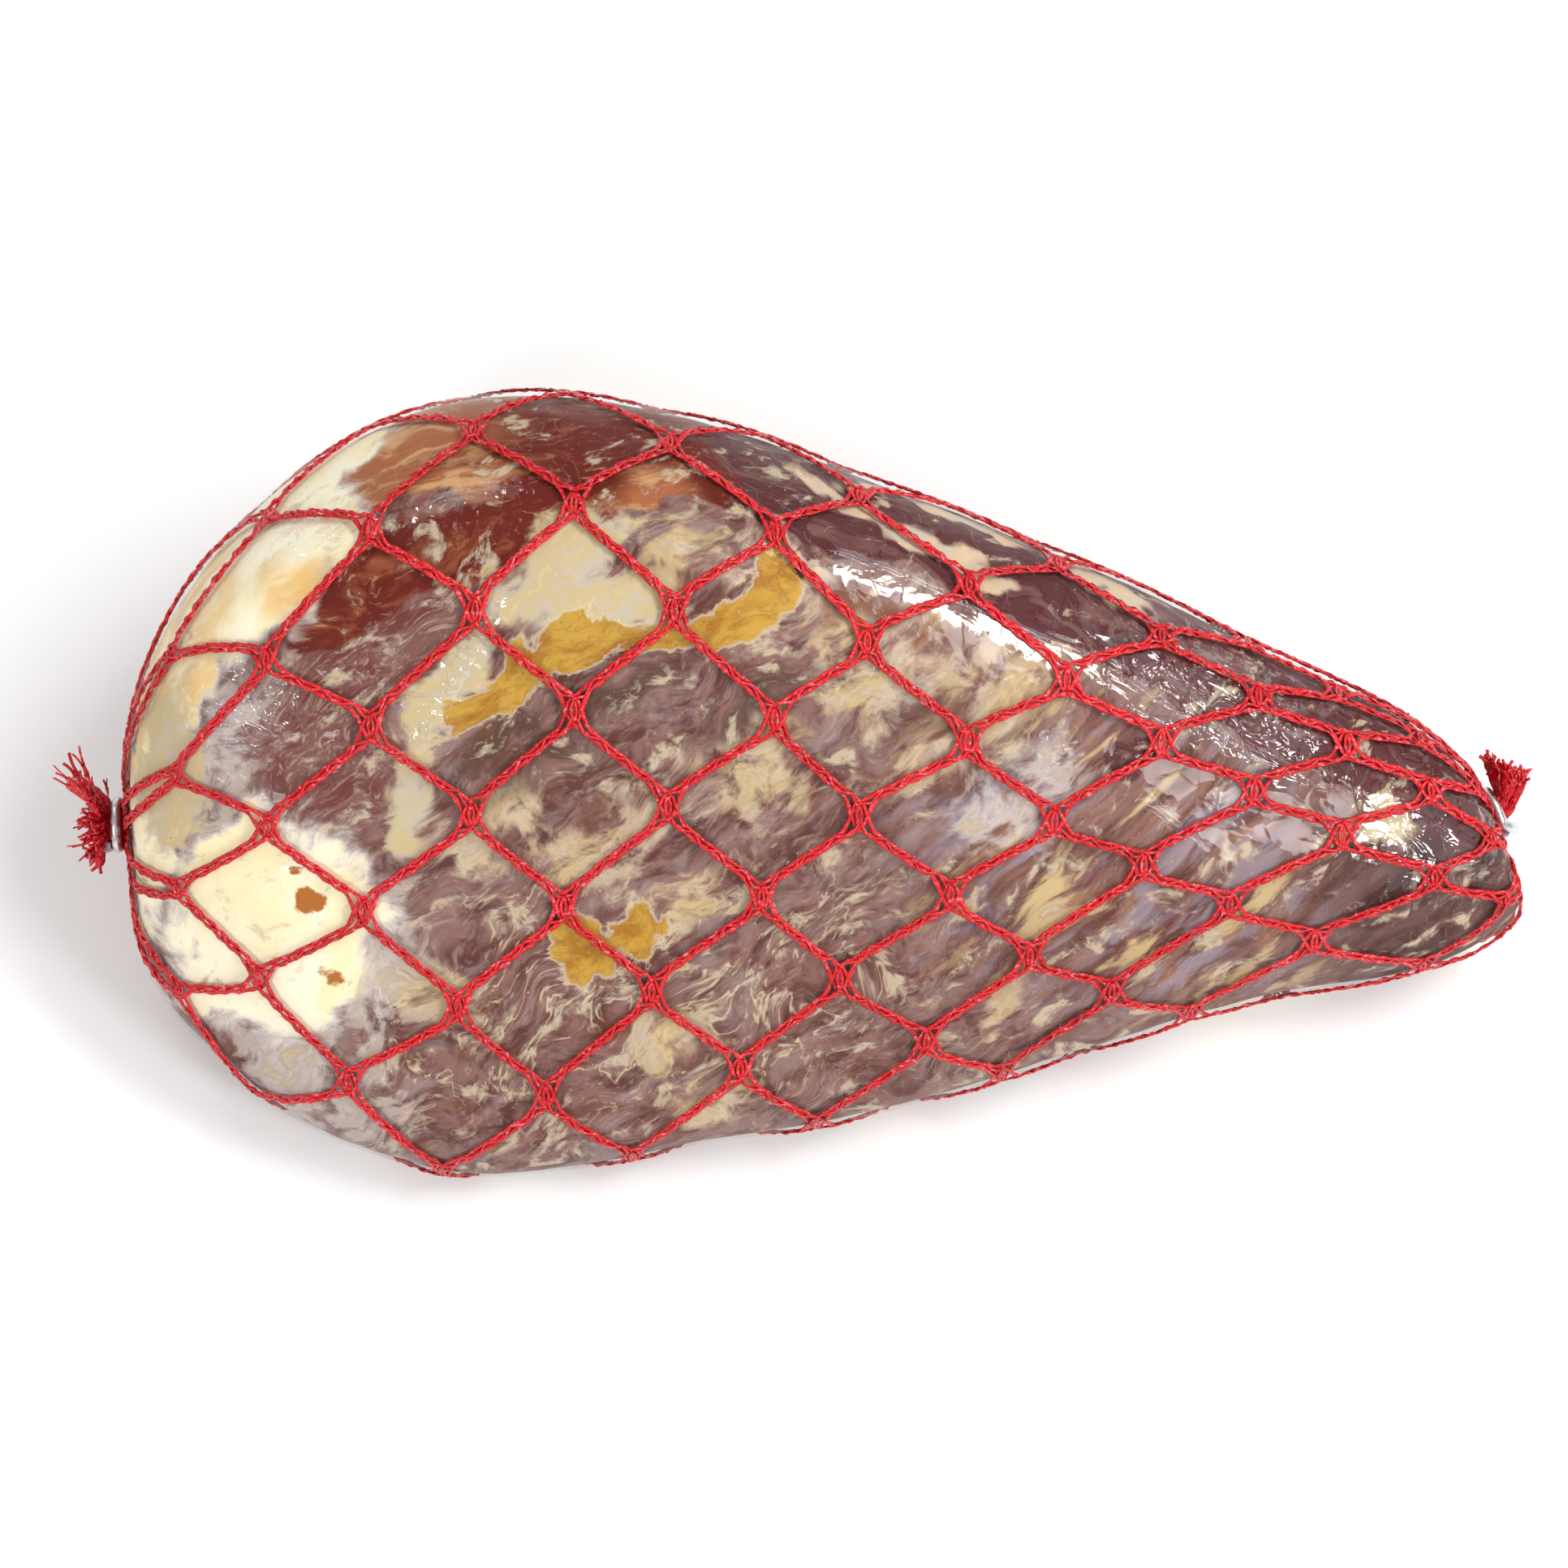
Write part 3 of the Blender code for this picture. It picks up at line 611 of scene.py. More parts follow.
def fibrous_lean(graph, curled):
    """The mauve lean at the butt, with fine whitish fibres."""
    grain = graph.grain(curled, 35, 0.022, 0.0070, 6, 0.64)
    colour = graph.tint(LEAN_MAUVE, MAUVE, grain, 0.40, 0.62, 0.7)
    colour = graph.tint(colour, BROWN, grain, 0.58, 0.70, 0.5)
    fibres = graph.grain(curled, 42, 0.012, 0.0012, 4, 0.62)
    return graph.tint(colour, PALE_FIBRE, fibres, 0.50, 0.70, 0.6)


def fat(graph, curled):
    """Ivory fat, yellow and orange in places."""
    shade = graph.grain(curled, 50, 0.040, 0.018, 5, 0.6)
    colour = graph.tint(CREAM, CREAM_YELLOW, shade, 0.42, 0.66)
    deeper = graph.math("MULTIPLY", graph.rise(shade, 0.36, 0.62), graph.field("rind"))
    return graph.mix(deeper, colour, IVORY_ORANGE)


def meat_material():
    """Cured meat and fat, seen through the film that lies on it."""
    graph = Graph("cured_meat")
    place = graph.face_place()
    curled = graph.shifted(graph.shifted(place, 0.026, 0.022), 0.0075, 0.0042)
    ragged = graph.grain(curled, 25, 0.016, 0.009, 6, 0.68)
    cloudy = graph.grain(curled, 38, 0.014, 0.0075, 7, 0.64)
    drawn = graph.shifted(place, 0.035, 0.016)
    fat_value = zone_value(graph, "fat", ragged, 1.3)
    gold_value = zone_value(graph, "gold", cloudy, 2.6)
    gold = graph.tint(GOLD, GOLD_PALE, cloudy, 0.36, 0.62)
    specks = graph.add("TexVoronoi", {"Vector": place, "Scale": 90.0}).outputs["Distance"]
    layers = (
        (zone(graph, "fibrous", ragged, 1.6, 0.3), fibrous_lean(graph, curled)),
        (cloud_zone(graph, "haze", cloudy, 0.7), SOFT_WHITE),
        (cloud_zone(graph, "umber", cloudy, 1.0), UMBER),
        (zone(graph, "dark_lean", ragged, 1.2, 0.15), dark_lean(graph, curled)),
        (zone(graph, "red", ragged, 1.0, 0.12), red_lean(graph, curled)),
        (cloud_zone(graph, "dark", cloudy, 0.85), DARK_SPOT),
        (graph.rise(fat_value, 0.12, 0.52, 0.85), SOFT_WHITE),
        (graph.rise(fat_value, 0.36, 0.66), fat(graph, curled)),
        (zone(graph, "tallow", cloudy, 2.2, 0.34), graph.tint(TALLOW_PALE, TALLOW, cloudy, 0.38, 0.62)),
        (zone(graph, "strip", ragged, 0.9, 0.3), graph.tint(TALLOW_PALE, STRIP_FAT, cloudy, 0.40, 0.62)),
        (graph.rise(gold_value, 0.16, 0.42, 0.7), PALE_CREAM),
        (graph.rise(gold_value, 0.40, 0.60), graph.mix(graph.lines(ragged, 0.020, 0.45), gold, UMBER)),
        (spot_zone(graph, "spots", cloudy), DARK_SPOT),
        (spot_zone(graph, "stain", cloudy), STAIN),
        (graph.fall(specks, 0.012, 0.024, 0.9), WHITE_SPECK),
    )
    colour = streaked_shank(graph, drawn, marbled_lean(graph, curled, cloudy))
    for share, layer in layers:
        colour = graph.mix(share, colour, layer)
    graph.surface({"Base Color": colour, "Roughness": 0.45, "Specular IOR Level": 0.12})
    graph.surface({"Normal": graph.bump(ragged, 0.0004)})
    return graph.material


def film_material():
    """Clear film: a sheet that only shines, and shines more where it is free of the meat."""
    graph = Graph("clear_film")
    place = graph.face_place()
    clear = graph.add("BsdfTransparent", {"Color": (0.985, 0.985, 0.98, 1)})
    folds = graph.grain(place, -24, 0.0140, 0.0062, 3, 0.42, 0.9)
    lift = graph.math("MULTIPLY", folds, graph.field("crumpled"))
    normal = graph.bump(lift, 0.0058)
    slack = graph.grain(place, 20, 0.026, 0.014, 3, 0.5, 0.3)
    normal = graph.bump(slack, 0.0008, normal)
    creases = graph.grain(place, 100, 0.090, 0.012, 2, 0.5, 0.4)
    normal = graph.bump(graph.lines(creases, 0.008), 0.0003, normal)
    ragged = graph.grain(place, 65, 0.009, 0.0035, 6, 0.6)
    below = graph.math("ADD", zone_value(graph, "below_ridge", ragged, 2.0), 0.5)
    crest = graph.math("MULTIPLY", graph.lines(below, 1.3), graph.field("ridge"))
    normal = graph.bump(crest, 0.0006, normal)
    free = graph.rise(zone_value(graph, "free", ragged, 2.4), 0.45, 0.55)
    gloss = {"Color": (1, 1, 1, 1), "Roughness": 0.05, "Normal": normal}
    shine = graph.add("BsdfGlossy", gloss)
    share = graph.add("Fresnel", {"IOR": 1.5, "Normal": normal}).outputs["Fac"]
    share = graph.math("MULTIPLY", share, graph.math("MULTIPLY_ADD", free, FREE_SHINE, CLINGING_SHINE))
    share = graph.math("MINIMUM", share, MOST_SHINE)
    both = graph.add("MixShader", {0: share, 1: clear.outputs[0], 2: shine.outputs[0]})
    graph.tree.links.new(both.outputs[0], graph.output.inputs["Surface"])
    graph.tree.nodes.remove(graph.shader)
    return graph.material


def tape_material(name):
    """Shiny red polythene tape, with fine specks of painted highlight and painted shade, and a fine bump."""
    graph = Graph(name)
    place = graph.place()
    shade = graph.field("shade")
    colour = graph.mix(shade, TAPE_RED, TAPE_BRIGHT)
    # Painted highlights: pink-white glints in fine specks, and painted shade in the dark specks between them
    specks = graph.grain(place, 0, 0.0017, 0.0013, 3, 0.6, 0.2)
    colour = graph.tint(colour, TAPE_PAINTED_HIGHLIGHT, specks, 0.56, 0.70, 0.75)
    colour = graph.mix(graph.fall(specks, 0.32, 0.44, 0.7), colour, TAPE_PAINTED_SHADE)
    wrinkles = graph.grain(place, 0, 0.0016, 0.0016, 3, 0.6, 0.4)
    graph.surface({"Base Color": colour, "Roughness": 0.24, "Normal": graph.bump(wrinkles, 0.0006)})
    return graph.material


def wire_material():
    """Drawn aluminium wire, satin with fine marks."""
    graph = Graph("aluminium_wire")
    place = graph.place()
    marks = graph.grain(place, 0, 0.004, 0.0004, 4, 0.6)
    graph.surface({"Base Color": graph.mix(marks, WIRE_DARK, WIRE_PALE), "Metallic": 1.0})
    graph.surface({"Roughness": graph.rise(marks, 0.2, 0.9, 0.5), "Normal": graph.bump(marks, 0.0001)})
    return graph.material


# Meat and film

def grid_places():
    """Ribs spaced evenly over the skin, and turns, for the meat's and the film's vertices."""
    fine = np.linspace(0, LAST_RIB, 1200)
    turns = np.arange(24) / 24
    rows = SKIN.point(fine[:, None], turns[None])
    steps = np.linalg.norm(np.diff(rows, axis=0), axis=2).max(axis=1)
    travelled = np.concatenate(([0], np.cumsum(steps)))
    shares = np.arange(1, MEAT_RINGS + 1) / (MEAT_RINGS + 1)
    return np.interp(shares * travelled[-1], travelled, fine), np.arange(MEAT_SIDES) / MEAT_SIDES


# Zones of the meat as the camera sees them. An ellipse has its centre's u and v, half its length and half
# its width, and the angle of its length in degrees.
ZONES = {
    "fat": (
        (-186, 34, 24, 9, 72), (-170, 58, 24, 14, 58), (-151, 85, 24, 8, 50), (-138, 99, 20, 7, 38),
        (-155, 57, 13, 9, 60), (-152, 74, 18, 13, 45), (-144, 72, 16, 10, 40), (-157, -38, 29, 24, -15),
        (-160, -56, 25, 16, -5), (-166, -20, 14, 10, 40), (-194, 0, 7, 40),
    ),
    "tallow": (
        (-106, 31, 23, 6, 59), (-76, 56, 18, 11, 28), (-60, 53, 14, 6, 8), (-72, 68, 20, 10, 22),
        (-119, -4, 20, 6, 82), (-188, 4, 10, 24), (164, -10, 9, 6, 40),
    ),
    "rind": ((-188, 34, 40, 12, 72), (-152, 56, 10, 9, 60), (-86, 40, 16, 5, 40)),
    "strip": (
        (7, 83.5, 16, 2.4, -31), (27, 71, 10, 3.2, -31), (45, 62.5, 13, 3.6, -23), (25, 84, 20, 2.5, -17),
        (46, 76.5, 16, 2.6, -22), (79, 60, 20, 2.8, -27),
    ),
    "gold": (
        (-92, 27, 22, 5.5, 36), (-68, 41, 18, 6, 10), (-46, 41, 9, 4.5, 10), (-14, 57, 13, 7, 35),
        (-27, 47, 11, 6, 20), (-69, -48, 8.5, 10, 15), (-52, -45, 8, 5),
    ),
    "red": (
        (-116, 95, 26, 13, 14), (-92, 100, 36, 16, 4), (-62, 96, 34, 16, -4), (-112, 66, 38, 12, 17),
        (-122, 59, 34, 9, 20), (-84, 76, 30, 12, 20), (-136, 51, 24, 8.5, 22), (-34, 88, 12, 6, -5),
    ),
    "orange": ((-122, 99, 34, 13, 24), (-118, 84, 30, 6, 12), (-50, 84, 10, 7)),
    "dark_lean": ((90, 10, 9, 6, 60), (-134, 50, 20, 6, 22)),
    "fibrous": ((-130, 38, 34, 14, 28), (-144, 10, 20, 22)),
    "umber": ((30, 43, 6, 6), (17, 50, 7, 4), (6, 52, 12, 4, 40), (-96, 10, 8, 9)),
    "blotches": (
        (-58, 54, 20, 10, 10), (-118, -6, 22, 8, 82), (-34, 68, 18, 9, -10), (4, 45, 9, 12, 60),
        (12, 30, 14, 18, 70), (-21, 3, 13, 17, 60), (-12, 16, 9, 9), (30, 40, 13, 12, 20),
        (52, 28, 20, 12, 10), (30, 6, 22, 6, 20), (-88, -8, 8, 14, 40), (-68, -20, 20, 8, 20),
        (-40, -34, 12, 8, 50), (60, -26, 13, 9, 50), (-100, -22, 10, 8), (-46, -74, 10, 9, 60),
        (-32, -92, 12, 7, 30), (112, -48, 24, 4.5, 62), (52, -66, 14, 4, 60), (-112, -60, 9, 16, 60),
    ),
    "veined": ((-105, -70, 44, 32), (-70, -60, 50, 40), (-20, -60, 50, 30, 20)),
    "dark": ((-90, 10, 22, 12, 34), (-62, 24, 18, 6, 20), (-20, 24, 20, 6, 30)),
    "spots": ((-57, 37.5, 9, 2.2, 8), (-4, 62, 3.5, 2.5, 50)),
    "stain": ((-148, -35, 6, 5, 20), (-141, -54, 3.4, 5, 60), (-151, -23, 3, 2)),
    "haze": (
        (-147, -84, 30, 15, -32), (-128, -54, 8, 26, -12), (-174, 8, 12, 22, -20), (-86, 58, 18, 3.5, 36),
        (-64, 84, 10, 8), (150, 8, 26, 8, -28), (56, -6, 20, 12, 30),
    ),
    "streaks": ((92, -22, 66, 46, -14),),
    "smooth_shank": ((176, -34, 30, 34),),
}

# Zones of the hidden side: its ripples' length and seed, and the heights where the zone starts and is full
HIDDEN_ZONES = {
    "fat": (0.110, 1, 0.0, 0.5), "rind": (0.050, 8, 0.2, 0.8), "gold": (0.060, 2, 0.9, 1.3),
    "orange": (0.060, 9, 0.3, 0.8), "red": (0.070, 3, 0.7, 1.1), "fibrous": (0.080, 4, 0.3, 0.7),
    "dark": (0.050, 5, 1.0, 1.4), "haze": (0.060, 6, 0.2, 0.8), "blotches": (0.040, 7, 0.3, 1.0),
    "dark_lean": (0.080, 10, 0.6, 1.0), "spots": (0.030, 12, 1.6, 1.9), "veined": (0.070, 11, 0.0, 0.6),
    "stain": (0.030, 13, 1.6, 1.9), "tallow": (0.060, 16, 0.6, 1.1), "umber": (0.040, 14, 0.8, 1.2),
}

# The line where the broad face turns into the upper slope, as the camera sees it
RIDGE = (
    (-60, 94), (-38, 85), (-14, 74), (5, 67), (26, 60), (38, 54), (51, 48), (66, 41), (78, 37), (92, 27),
    (114, 17), (142, 2), (190, -20),
)
RIDGE_LEAN = math.radians(-25)

# Zones of the film, given as the meat's are
CRUMPLED_FILM = ((112, 24, 36, 13, -27), (-165, 23, 16, 14))
CREASED_FILM = ((-104, 34, 26, 2.8, 60), (-146, 72, 15, 4, 30), (-106, 81, 24, 2.6, 14))
SHANK_TIP_FILM = (182, -16, 22, 18)
FREE_FILM = (
    (112, 26, 42, 15, -27), (176, -14, 24, 18), (-165, 23, 16, 16), (-104, 34, 28, 4, 60),
    (-148, 71, 16, 8, 30), (-106, 81, 26, 4, 14),
)


def as_seen(points):
    """Where the camera sees points, in millimetres along and across the broad face."""
    along, across, out = np.moveaxis(to_face(points), -1, 0)
    nearer = CAMERA_DISTANCE / (CAMERA_DISTANCE - out)
    aim = CAMERA_AIM[0]
    return np.stack(((aim + (along - aim) * nearer) * 1000, across * nearer * 1000), axis=-1)


def below_ridge(view):
    """How far places are below the ridge, in millimetres."""
    ridge_u, ridge_v = np.array(RIDGE, float).T
    return (np.interp(view[:, 0], ridge_u, ridge_v) - view[:, 1]) * math.cos(RIDGE_LEAN)


def wander(points, seed):
    """How far the zones' edges wander, in millimetres."""
    return 3.0 * ripples(points, 0.024, seed) + 1.3 * ripples(points, 0.008, seed + 2)


def meat_fields(points, normals):
    """The zones of meat and fat, each from 0 to 1, on the side that the camera sees and behind."""
    view = as_seen(points) + np.stack((wander(points, 41), wander(points, 42)), axis=-1)
    facing = normals @ to_world((0, 0, 1))
    front = smooth(facing, -0.15, 0.10)
    fields = {name: patches(view, *rows) for name, rows in ZONES.items()}
    fields["strip"] *= smooth(facing, 0.05, 0.30)
    slope = smooth(view[:, 0], -58, -30) * smooth(below_ridge(view), 1.2, -2.4)
    fields["dark_lean"] = np.maximum(slope, fields["dark_lean"])
    behind = {
        name: smooth(ripples(points, length, seed), low, high)
        for name, (length, seed, low, high) in HIDDEN_ZONES.items()
    }
    behind["strip"] = 0.0
    behind["streaks"] = smooth(points[:, 0], 0.03, 0.08)
    behind["smooth_shank"] = smooth(points[:, 0], 0.14, 0.17)
    return {name: front * seen + (1 - front) * behind[name] for name, seen in fields.items()}


def film_relief(points, turns):
    """How far the film stands off the meat: slack everywhere, and pleats that run into both gathers."""
    draw = np.random.default_rng(SEED + 7)
    waves = np.arange(13, 46, 2)
    phases = draw.uniform(0, WHOLE_TURN, len(waves))
    drift = 0.8 * ripples(points, 0.050, 23)
    folds = np.cos(WHOLE_TURN * turns[:, None] * waves + phases + drift[:, None])
    pleats = np.maximum(folds.sum(axis=1) / len(waves) ** 0.5, -0.9)
    reach = np.min([np.linalg.norm(points - tip_point(end), axis=1) for end in (0, 1)], axis=0)
    pleated = smooth(reach, 0.062, 0.020) * smooth(reach, 0.0, 0.012)
    slack = 0.00014 * ripples(points, 0.020, 21) + 0.00007 * ripples(points, 0.009, 22)
    return FILM_GAP + slack + PLEAT_HEIGHT * pleated * pleats


def film_fields(points):
    """Where the film is crumpled, free of the meat or on the ridge, and how far below the ridge it is."""
    view = as_seen(points)
    below = below_ridge(view)
    seen = points @ to_world((0, 0, 1)) > -0.01
    ridge = smooth(view[:, 0], 0, 8) * smooth(view[:, 0], 150, 130) * seen
    crumpled = np.maximum(patches(view, *CRUMPLED_FILM), 0.7 * patches(view, *CREASED_FILM))
    crumpled = np.maximum(crumpled, 0.05 + 0.25 * patch(view, *SHANK_TIP_FILM))
    pocket = ridge * smooth(below, -2.0, 0.5) * smooth(below, 11.0, 3.0)
    free = np.maximum(pocket, 0.75 * patches(view, *FREE_FILM))
    return {"crumpled": crumpled, "free": free, "below_ridge": below, "ridge": ridge}


def make_meat_and_film():
    """The meat just inside the skin, and the film on it."""
    ribs, turns = grid_places()
    places = np.broadcast_arrays(ribs[:, None], turns[None])
    points, normals = SKIN.point(*places).reshape(-1, 3), SKIN.normal(*places).reshape(-1, 3)
    lumps = 0.0003 * ripples(points, 0.030, 31) + 0.0001 * ripples(points, 0.012, 32)
    meat = loft("meat", points + normals * (lumps - MEAT_BELOW_SKIN)[:, None])
    for name, values in meat_fields(points, normals).items():
        add_field(meat, name, np.append(values, (values[0], values[-1])))
    add_piece("meat", meat, meat_material(), ["ham_in_film"])
    lift = film_relief(points, places[1].reshape(-1)) + np.maximum(lumps, 0)
    film = loft("film", points + normals * lift[:, None])
    for name, values in film_fields(points).items():
        add_field(film, name, np.append(values, (0, 0)))
    add_piece("film", film, film_material(), ["ham_in_film"])


# The net

NODE_APART = 0.0060
SPLIT_LENGTH = 0.0062
TAPE_WIDTH = 0.00125
TAPE_THICKNESS = 0.00040
TAPE_HEIGHT = 0.00105
TAPE_OFFSET = 0.00074
THREAD_WIDTH = 0.00075
THREAD_THICKNESS = 0.00030
THREAD_REACH = 0.00120
THREAD_ABOVE_TAPES = 0.00042
STITCH_LENGTH = 0.0046
KNOT_WIDTH = 0.00095
KNOT_BOW = 0.0007
KNOT_ABOVE_TAPES = 0.0003
SAMPLE_STEP = 0.0008
NET_PIECES = 3

# The gathers: how near its tip a strand ends, in ribs, and where it leaves the skin and joins the others
GATHER_END = 0.12
GATHER_SAMPLES = 60
GATHER_LEAN = 0.25
GATHER_STARTS = 0.016
GATHER_IS_FULL = 0.003
GATHER_RADIUS = 0.0024
GATHER_HEIGHTS = (0.0012, 0.0050)


def knot_node(ring, column, low):
    """The rib and the turn of a knot's upper node, or of its lower one."""
    rib, turn = knot_place(ring, column)
    apart = NODE_APART * min(1.0, 0.55 + 0.25 * min(ring, LAST_RING - ring))
    return rib, turn + (0.5 if low else -0.5) * apart / float(SKIN.girth(rib))


def strand_line(start, end):
    """Points and outward directions along a strand between two places on the skin."""
    span = np.linalg.norm(SKIN.point(*start) - SKIN.point(*end))
    share = np.linspace(0, 1, max(8, int(span / SAMPLE_STEP)))
    rib, turn = start[0] + (end[0] - start[0]) * share, start[1] + (end[1] - start[1]) * share
    return SKIN.point(rib, turn), SKIN.normal(rib, turn)


def knit(ribbons, points, normals, start_other, end_other, draw):
    """Two tapes with a thread stitched round them. At an end, one tape crosses to the knot's other node."""
    steps = distances(points)
    ahead = unit(np.gradient(points, axis=0))
    aside = unit(np.cross(normals, ahead))
    phase = draw.uniform(0, WHOLE_TURN)
    beat = WHOLE_TURN * steps / STITCH_LENGTH + phase
    for side in (-1, 1):
        offset = side * (TAPE_OFFSET + 0.00010 * np.sin(beat * 0.5 + side))
        height = TAPE_HEIGHT + 0.00018 * np.sin(beat + side * 1.5)
        line = points + aside * offset[:, None] + normals * height[:, None]
        for other, near in ((start_other, steps), (end_other, steps[-1] - steps)):
            if other is None:
                continue
            here = points[0] if near is steps else points[-1]
            way = aside[0] if near is steps else aside[-1]
            if (other - here) @ way * side > 0:
                line = line + (other - here) * (smooth(near, SPLIT_LENGTH, 0) ** 1.3)[:, None]
        widths = TAPE_WIDTH * (1 + 0.20 * np.sin(beat + side * 2.0) + 0.10 * np.sin(beat * 2.7))
        rolls = 0.45 * np.sin(beat + side) + 0.25 * np.sin(beat * 0.37)
        ribbons.add(line, normals, widths, TAPE_THICKNESS, rolls, draw.uniform())
    zigzag = np.arcsin(np.sin(beat * 0.5)) / (math.pi / 2)
    line = points + aside * (zigzag * THREAD_REACH)[:, None]
    line += normals * (TAPE_HEIGHT + THREAD_ABOVE_TAPES - 0.00050 * zigzag**4)[:, None]
    tilt = 0.4 * np.cos(beat * 0.5)
    ribbons.add(line, normals, THREAD_WIDTH, THREAD_THICKNESS, tilt, draw.uniform(0.3, 1))


def strand_plan():
    """Every strand between two knots: its ring, its two columns, and if it falls towards higher turns."""
    for ring in range(LAST_RING):
        for column in range(MESH_COLUMNS):
            for way in (-1, 1):
                shift = (way - 1) // 2 if ring % 2 == 0 else (way + 1) // 2
                yield ring, column, column + shift, way > 0


def make_net():
    """The knitted strands between the knots, the short threads in each knot and the gathered strands."""
    draw = np.random.default_rng(SEED)
    material = tape_material("red_tape")
    sets = [Ribbons() for _ in range(NET_PIECES)]
    for ring, column, other, falls in strand_plan():
        ribbons = sets[ring * NET_PIECES // LAST_RING]
        start, end = knot_node(ring, column, falls), knot_node(ring + 1, other, not falls)
        start_other, end_other = knot_node(ring, column, not falls), knot_node(ring + 1, other, falls)
        points, normals = strand_line(start, end)
        knit(ribbons, points, normals, SKIN.point(*start_other), SKIN.point(*end_other), draw)
    for ring in range(LAST_RING + 1):
        ribbons = sets[min(NET_PIECES - 1, ring * NET_PIECES // LAST_RING)]
        for column in range(MESH_COLUMNS):
            points, normals = strand_line(knot_node(ring, column, False), knot_node(ring, column, True))
            aside = unit(np.cross(normals, np.gradient(points, axis=0)))
            for side in (-1, 1):
                bow = np.sin(np.linspace(0, math.pi, len(points)))[:, None]
                line = points + aside * side * KNOT_BOW * bow + normals * (TAPE_HEIGHT + KNOT_ABOVE_TAPES)
                ribbons.add(line, normals, KNOT_WIDTH, THREAD_THICKNESS, 0.3 * side, draw.uniform())
    for end, ribbons in ((0, sets[0]), (1, sets[-1])):
        gather_strands(ribbons, end, draw)
    for index, ribbons in enumerate(sets):
        name = f"net_{index + 1}"
        add_piece(name, ribbons.mesh(name), material, ["net"])


def gather_strands(ribbons, end, draw):
    """Two strands from each knot of the last ring, drawn together over the tip and into the clip."""
    ring = LAST_RING if end else 0
    last = LAST_RIB - GATHER_END if end else GATHER_END
    share = np.linspace(0, 1, GATHER_SAMPLES)
    axis, up_face, sideways = gather_frame(end)
    tip = tip_point(end)
    height = GATHER_HEIGHTS[0] + GATHER_HEIGHTS[1] * smooth(share, 0.8, 1.0)
    for column in range(MESH_COLUMNS):
        for low in (False, True):
            rib, turn = knot_node(ring, column, low)
            lean = (GATHER_LEAN if low else -GATHER_LEAN) / MESH_COLUMNS
            ribs, turns = rib + (last - rib) * share, turn + lean * share
            points, normals = SKIN.point(ribs, turns), SKIN.normal(ribs, turns)
            spoke = points[-1] - tip
            spoke = unit(up_face * (spoke @ up_face) + sideways * (spoke @ sideways))
            reach = np.linalg.norm(points - tip, axis=1)
            into = smooth(reach, GATHER_STARTS, GATHER_IS_FULL)[:, None]
            climb = tip + spoke * GATHER_RADIUS + axis * height[:, None]
            points = points * (1 - into) + climb * into
            normals = unit(normals * (1 - into) + spoke * into)
            knit(ribbons, points, normals, None, None, draw)


# The frayed ends and the clips

FRAY_TAPES = 54
FRAY_TAPE_THICKNESS = 0.0003
GOLDEN_ANGLE = 2.39996
FRAY_HEIGHT = 0.0030
FRAY_RADIUS = 0.0034
FORK_POINTS = 5
FORK_SPREAD = 0.0011


def stray(start, way, length, curl, draw, points=14):
    """A loose tape's line that starts one way and curls as it goes."""
    side = unit(np.cross(way, draw.normal(size=3)))
    share = np.linspace(0, 1, points)[:, None]
    bend = side * curl * share**2 + np.cross(way, side) * curl * 0.5 * np.sin(share * 5 + draw.uniform(0, 6))
    return start + (unit(way) * share + bend * 0.5) * length


def add_torn_tape(ribbons, line, width, draw):
    """A crumpled tape whose end is torn into two narrow tails."""
    normals = unit(np.cross(np.gradient(line, axis=0), draw.normal(size=3)))
    twist = np.linspace(0, draw.uniform(-1.6, 1.6), len(line))
    rolls = twist + draw.uniform(-0.5, 0.5, len(line))
    widths = width * draw.uniform(0.75, 1.15, len(line))
    shade = draw.uniform()
    ribbons.add(line, normals, widths, FRAY_TAPE_THICKNESS, rolls, shade)
    aside = unit(np.cross(normals[-1], line[-1] - line[-2]))
    spread = np.linspace(0, 1, FORK_POINTS)[:, None] ** 2 * FORK_SPREAD
    ahead = (line[-1] - line[-2]) * np.linspace(0, 2.5, FORK_POINTS)[:, None]
    for side in (-1, 1):
        tail = line[-1] + ahead * draw.uniform(0.5, 1.2) + aside * side * (spread + width * 0.2)
        ups = np.repeat(normals[-1:], FORK_POINTS, axis=0)
        ribbons.add(tail, ups, width * 0.4, FRAY_TAPE_THICKNESS, 0.3 * side, shade)


def make_fray(end):
    """The tapes' torn ends: a burst at the butt, and a brush that turns up the broad face at the shank."""
    draw = np.random.default_rng(SEED + 50 + end)
    ribbons = Ribbons()
    axis, up_face, sideways = gather_frame(end)
    tip = tip_point(end)
    for index in range(FRAY_TAPES):
        angle = index * GOLDEN_ANGLE
        spoke = up_face * math.cos(angle) + sideways * math.sin(angle)
        start = tip + axis * FRAY_HEIGHT + spoke * FRAY_RADIUS * math.sqrt(draw.uniform(0.1, 1))
        if end:
            lean = unit(to_world((-0.14, 1.0, 0.05)))
            share = np.linspace(0, 1, 12)[:, None]
            last = unit(lean + axis * (0.30 - 0.50 * math.cos(angle)) + sideways * math.sin(angle) * 0.5)
            stem = start + axis * 0.0055 * np.minimum(share * 3, 1)
            line = stem + last * draw.uniform(0.0085, 0.0125) * np.maximum(share - 0.2, 0) / 0.8
        else:
            way = spoke * draw.uniform(0.8, 1.5) + axis * draw.uniform(0.3, 1.3)
            length = 0.016 if index % 13 == 8 else draw.uniform(0.006, 0.0115)
            stem = start + axis * 0.0045 * np.linspace(0, 1, 4)[:, None]
            line = np.vstack((stem[:-1], stray(stem[-1], way, length, draw.uniform(0.05, 0.35), draw, 9)))
        add_torn_tape(ribbons, line, draw.uniform(0.0012, 0.0026), draw)
    node = "fray_shank" if end else "fray_butt"
    name = node + "_tapes"
    add_piece(name, ribbons.mesh(name), tape_material(name), [node])


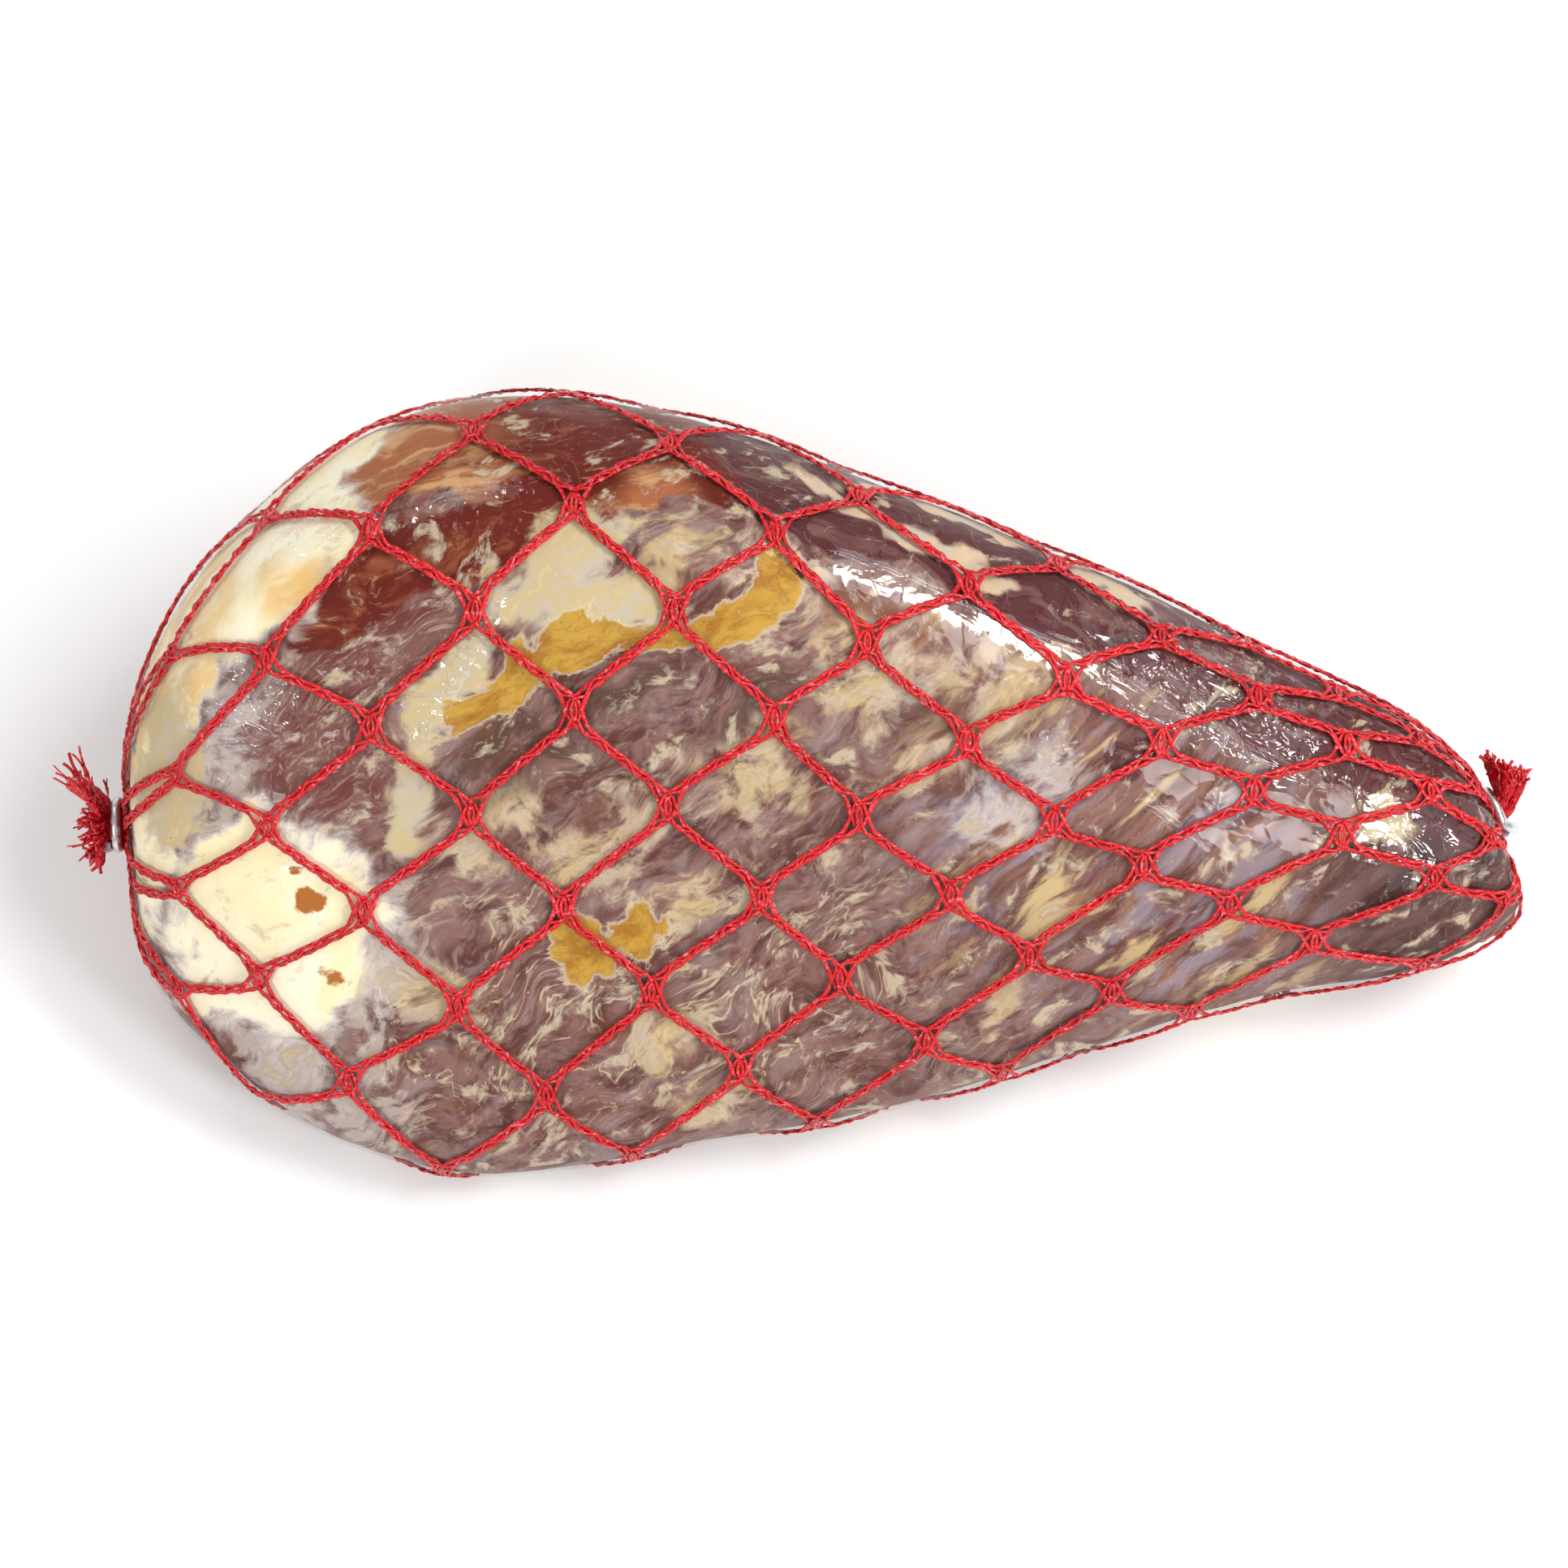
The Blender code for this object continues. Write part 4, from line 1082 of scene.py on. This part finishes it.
def make_clip(end):
    """A wire bent once round the gather, its ends passing each other below it."""
    axis, up_face, sideways = gather_frame(end)
    share = np.linspace(0, 1, 72)
    angle = WHOLE_TURN * CLIP_TURNS * (share - 0.5)
    shift = np.maximum(0, (share - CLIP_SHIFT_STARTS) / (1 - CLIP_SHIFT_STARTS))
    shift = CLIP_OVERLAP_SHIFT * shift * (2 - shift)
    centre = tip_point(end) + axis * CLIP_HEIGHTS[end]
    ring = (np.outer(np.cos(angle), up_face) + np.outer(np.sin(angle), sideways)) * CLIP_RADIUS
    line = centre + ring + np.outer(shift, axis) + SHIFT
    curve = bpy.data.curves.new("clip", "CURVE")
    curve.dimensions = "3D"
    curve.bevel_depth = WIRE_RADIUS
    curve.bevel_resolution = 5
    curve.use_fill_caps = True
    wire = curve.splines.new("POLY")
    wire.points.add(len(line) - 1)
    for point, place in zip(wire.points, line):
        point.co = (*place, 1)
    holder = bpy.data.objects.new("clip", curve)
    link(holder)
    mesh = bpy.data.meshes.new_from_object(holder.evaluated_get(bpy.context.evaluated_depsgraph_get()))
    bpy.data.objects.remove(holder)
    mesh.shade_smooth()
    name = "wire_shank" if end else "wire_butt"
    add_piece(name, mesh, wire_material(), ["clip_shank" if end else "clip_butt"])


# The studio: each softbox has a place, a size and a power in watts

SOFTBOXES = (
    ("softbox_above", (0.70, 0.25, 1.20), (0.80, 0.28), 11.0),
    ("softbox_left", (-0.82, -0.84, 0.88), (0.25, 0.35), 5.4),
    ("softbox_far_left", (-0.70, 0.84, 0.90), (0.15, 0.15), 1.3),
    ("softbox_right", (0.84, -0.77, 0.87), (0.30, 0.34), 6.5),
)
LIGHT_AIM = (0.0, 0.0, 0.06)
ROOM_LIGHT = 0.52


def make_floor():
    """A plain pale table."""
    bpy.ops.mesh.primitive_plane_add(size=6)
    floor = bpy.context.object
    floor.name = "floor"
    graph = Graph("pale_table")
    graph.surface({"Base Color": FLOOR_COLOUR, "Roughness": 0.8})
    floor.data.materials.append(graph.material)


def make_light(name, place, size, power):
    """A soft rectangular light that looks at the ham."""
    light = bpy.data.lights.new(name, "AREA")
    light.shape = "RECTANGLE"
    light.size, light.size_y = size
    light.energy = power
    holder = bpy.data.objects.new(name, light)
    holder.location = place
    holder.rotation_euler = (Vector(LIGHT_AIM) - Vector(place)).to_track_quat("-Z", "Y").to_euler()
    link(holder)


def make_studio():
    """The floor, the lights and the camera."""
    make_floor()
    for name, place, size, power in SOFTBOXES:
        make_light(name, place, size, power)
    world = bpy.data.worlds.new("pale_room")
    world.use_nodes = True
    background = world.node_tree.nodes["Background"].inputs
    background["Color"].default_value = (1.0, 1.0, 1.0, 1)
    background["Strength"].default_value = ROOM_LIGHT
    bpy.context.scene.world = world
    camera = bpy.data.objects.new("camera", bpy.data.cameras.new("camera"))
    camera.data.lens = LENS_MM
    camera.data.sensor_width = SENSOR_MM
    aim = Vector(np.array(CAMERA_AIM) + SHIFT)
    back = Vector((0, -math.cos(CAMERA_ELEVATION), math.sin(CAMERA_ELEVATION)))
    camera.location = aim + back * CAMERA_DISTANCE
    camera.rotation_euler = (-back).to_track_quat("-Z", "Y").to_euler()
    link(camera)
    bpy.context.scene.camera = camera
    bpy.context.scene.view_settings.view_transform = "Standard"
    cycles = bpy.context.scene.cycles
    cycles.max_bounces = 6
    cycles.diffuse_bounces = 2
    cycles.glossy_bounces = 2


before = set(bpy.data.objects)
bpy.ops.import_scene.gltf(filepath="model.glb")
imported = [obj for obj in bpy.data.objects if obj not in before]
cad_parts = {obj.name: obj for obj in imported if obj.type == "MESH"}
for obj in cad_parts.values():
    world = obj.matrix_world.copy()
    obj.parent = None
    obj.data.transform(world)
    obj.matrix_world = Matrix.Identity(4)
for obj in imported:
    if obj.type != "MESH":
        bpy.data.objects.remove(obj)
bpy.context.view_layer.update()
SKIN = Skin()
SHIFT = part_shift()
make_meat_and_film()
make_net()
make_fray(0)
make_fray(1)
make_clip(0)
make_clip(1)
make_studio()
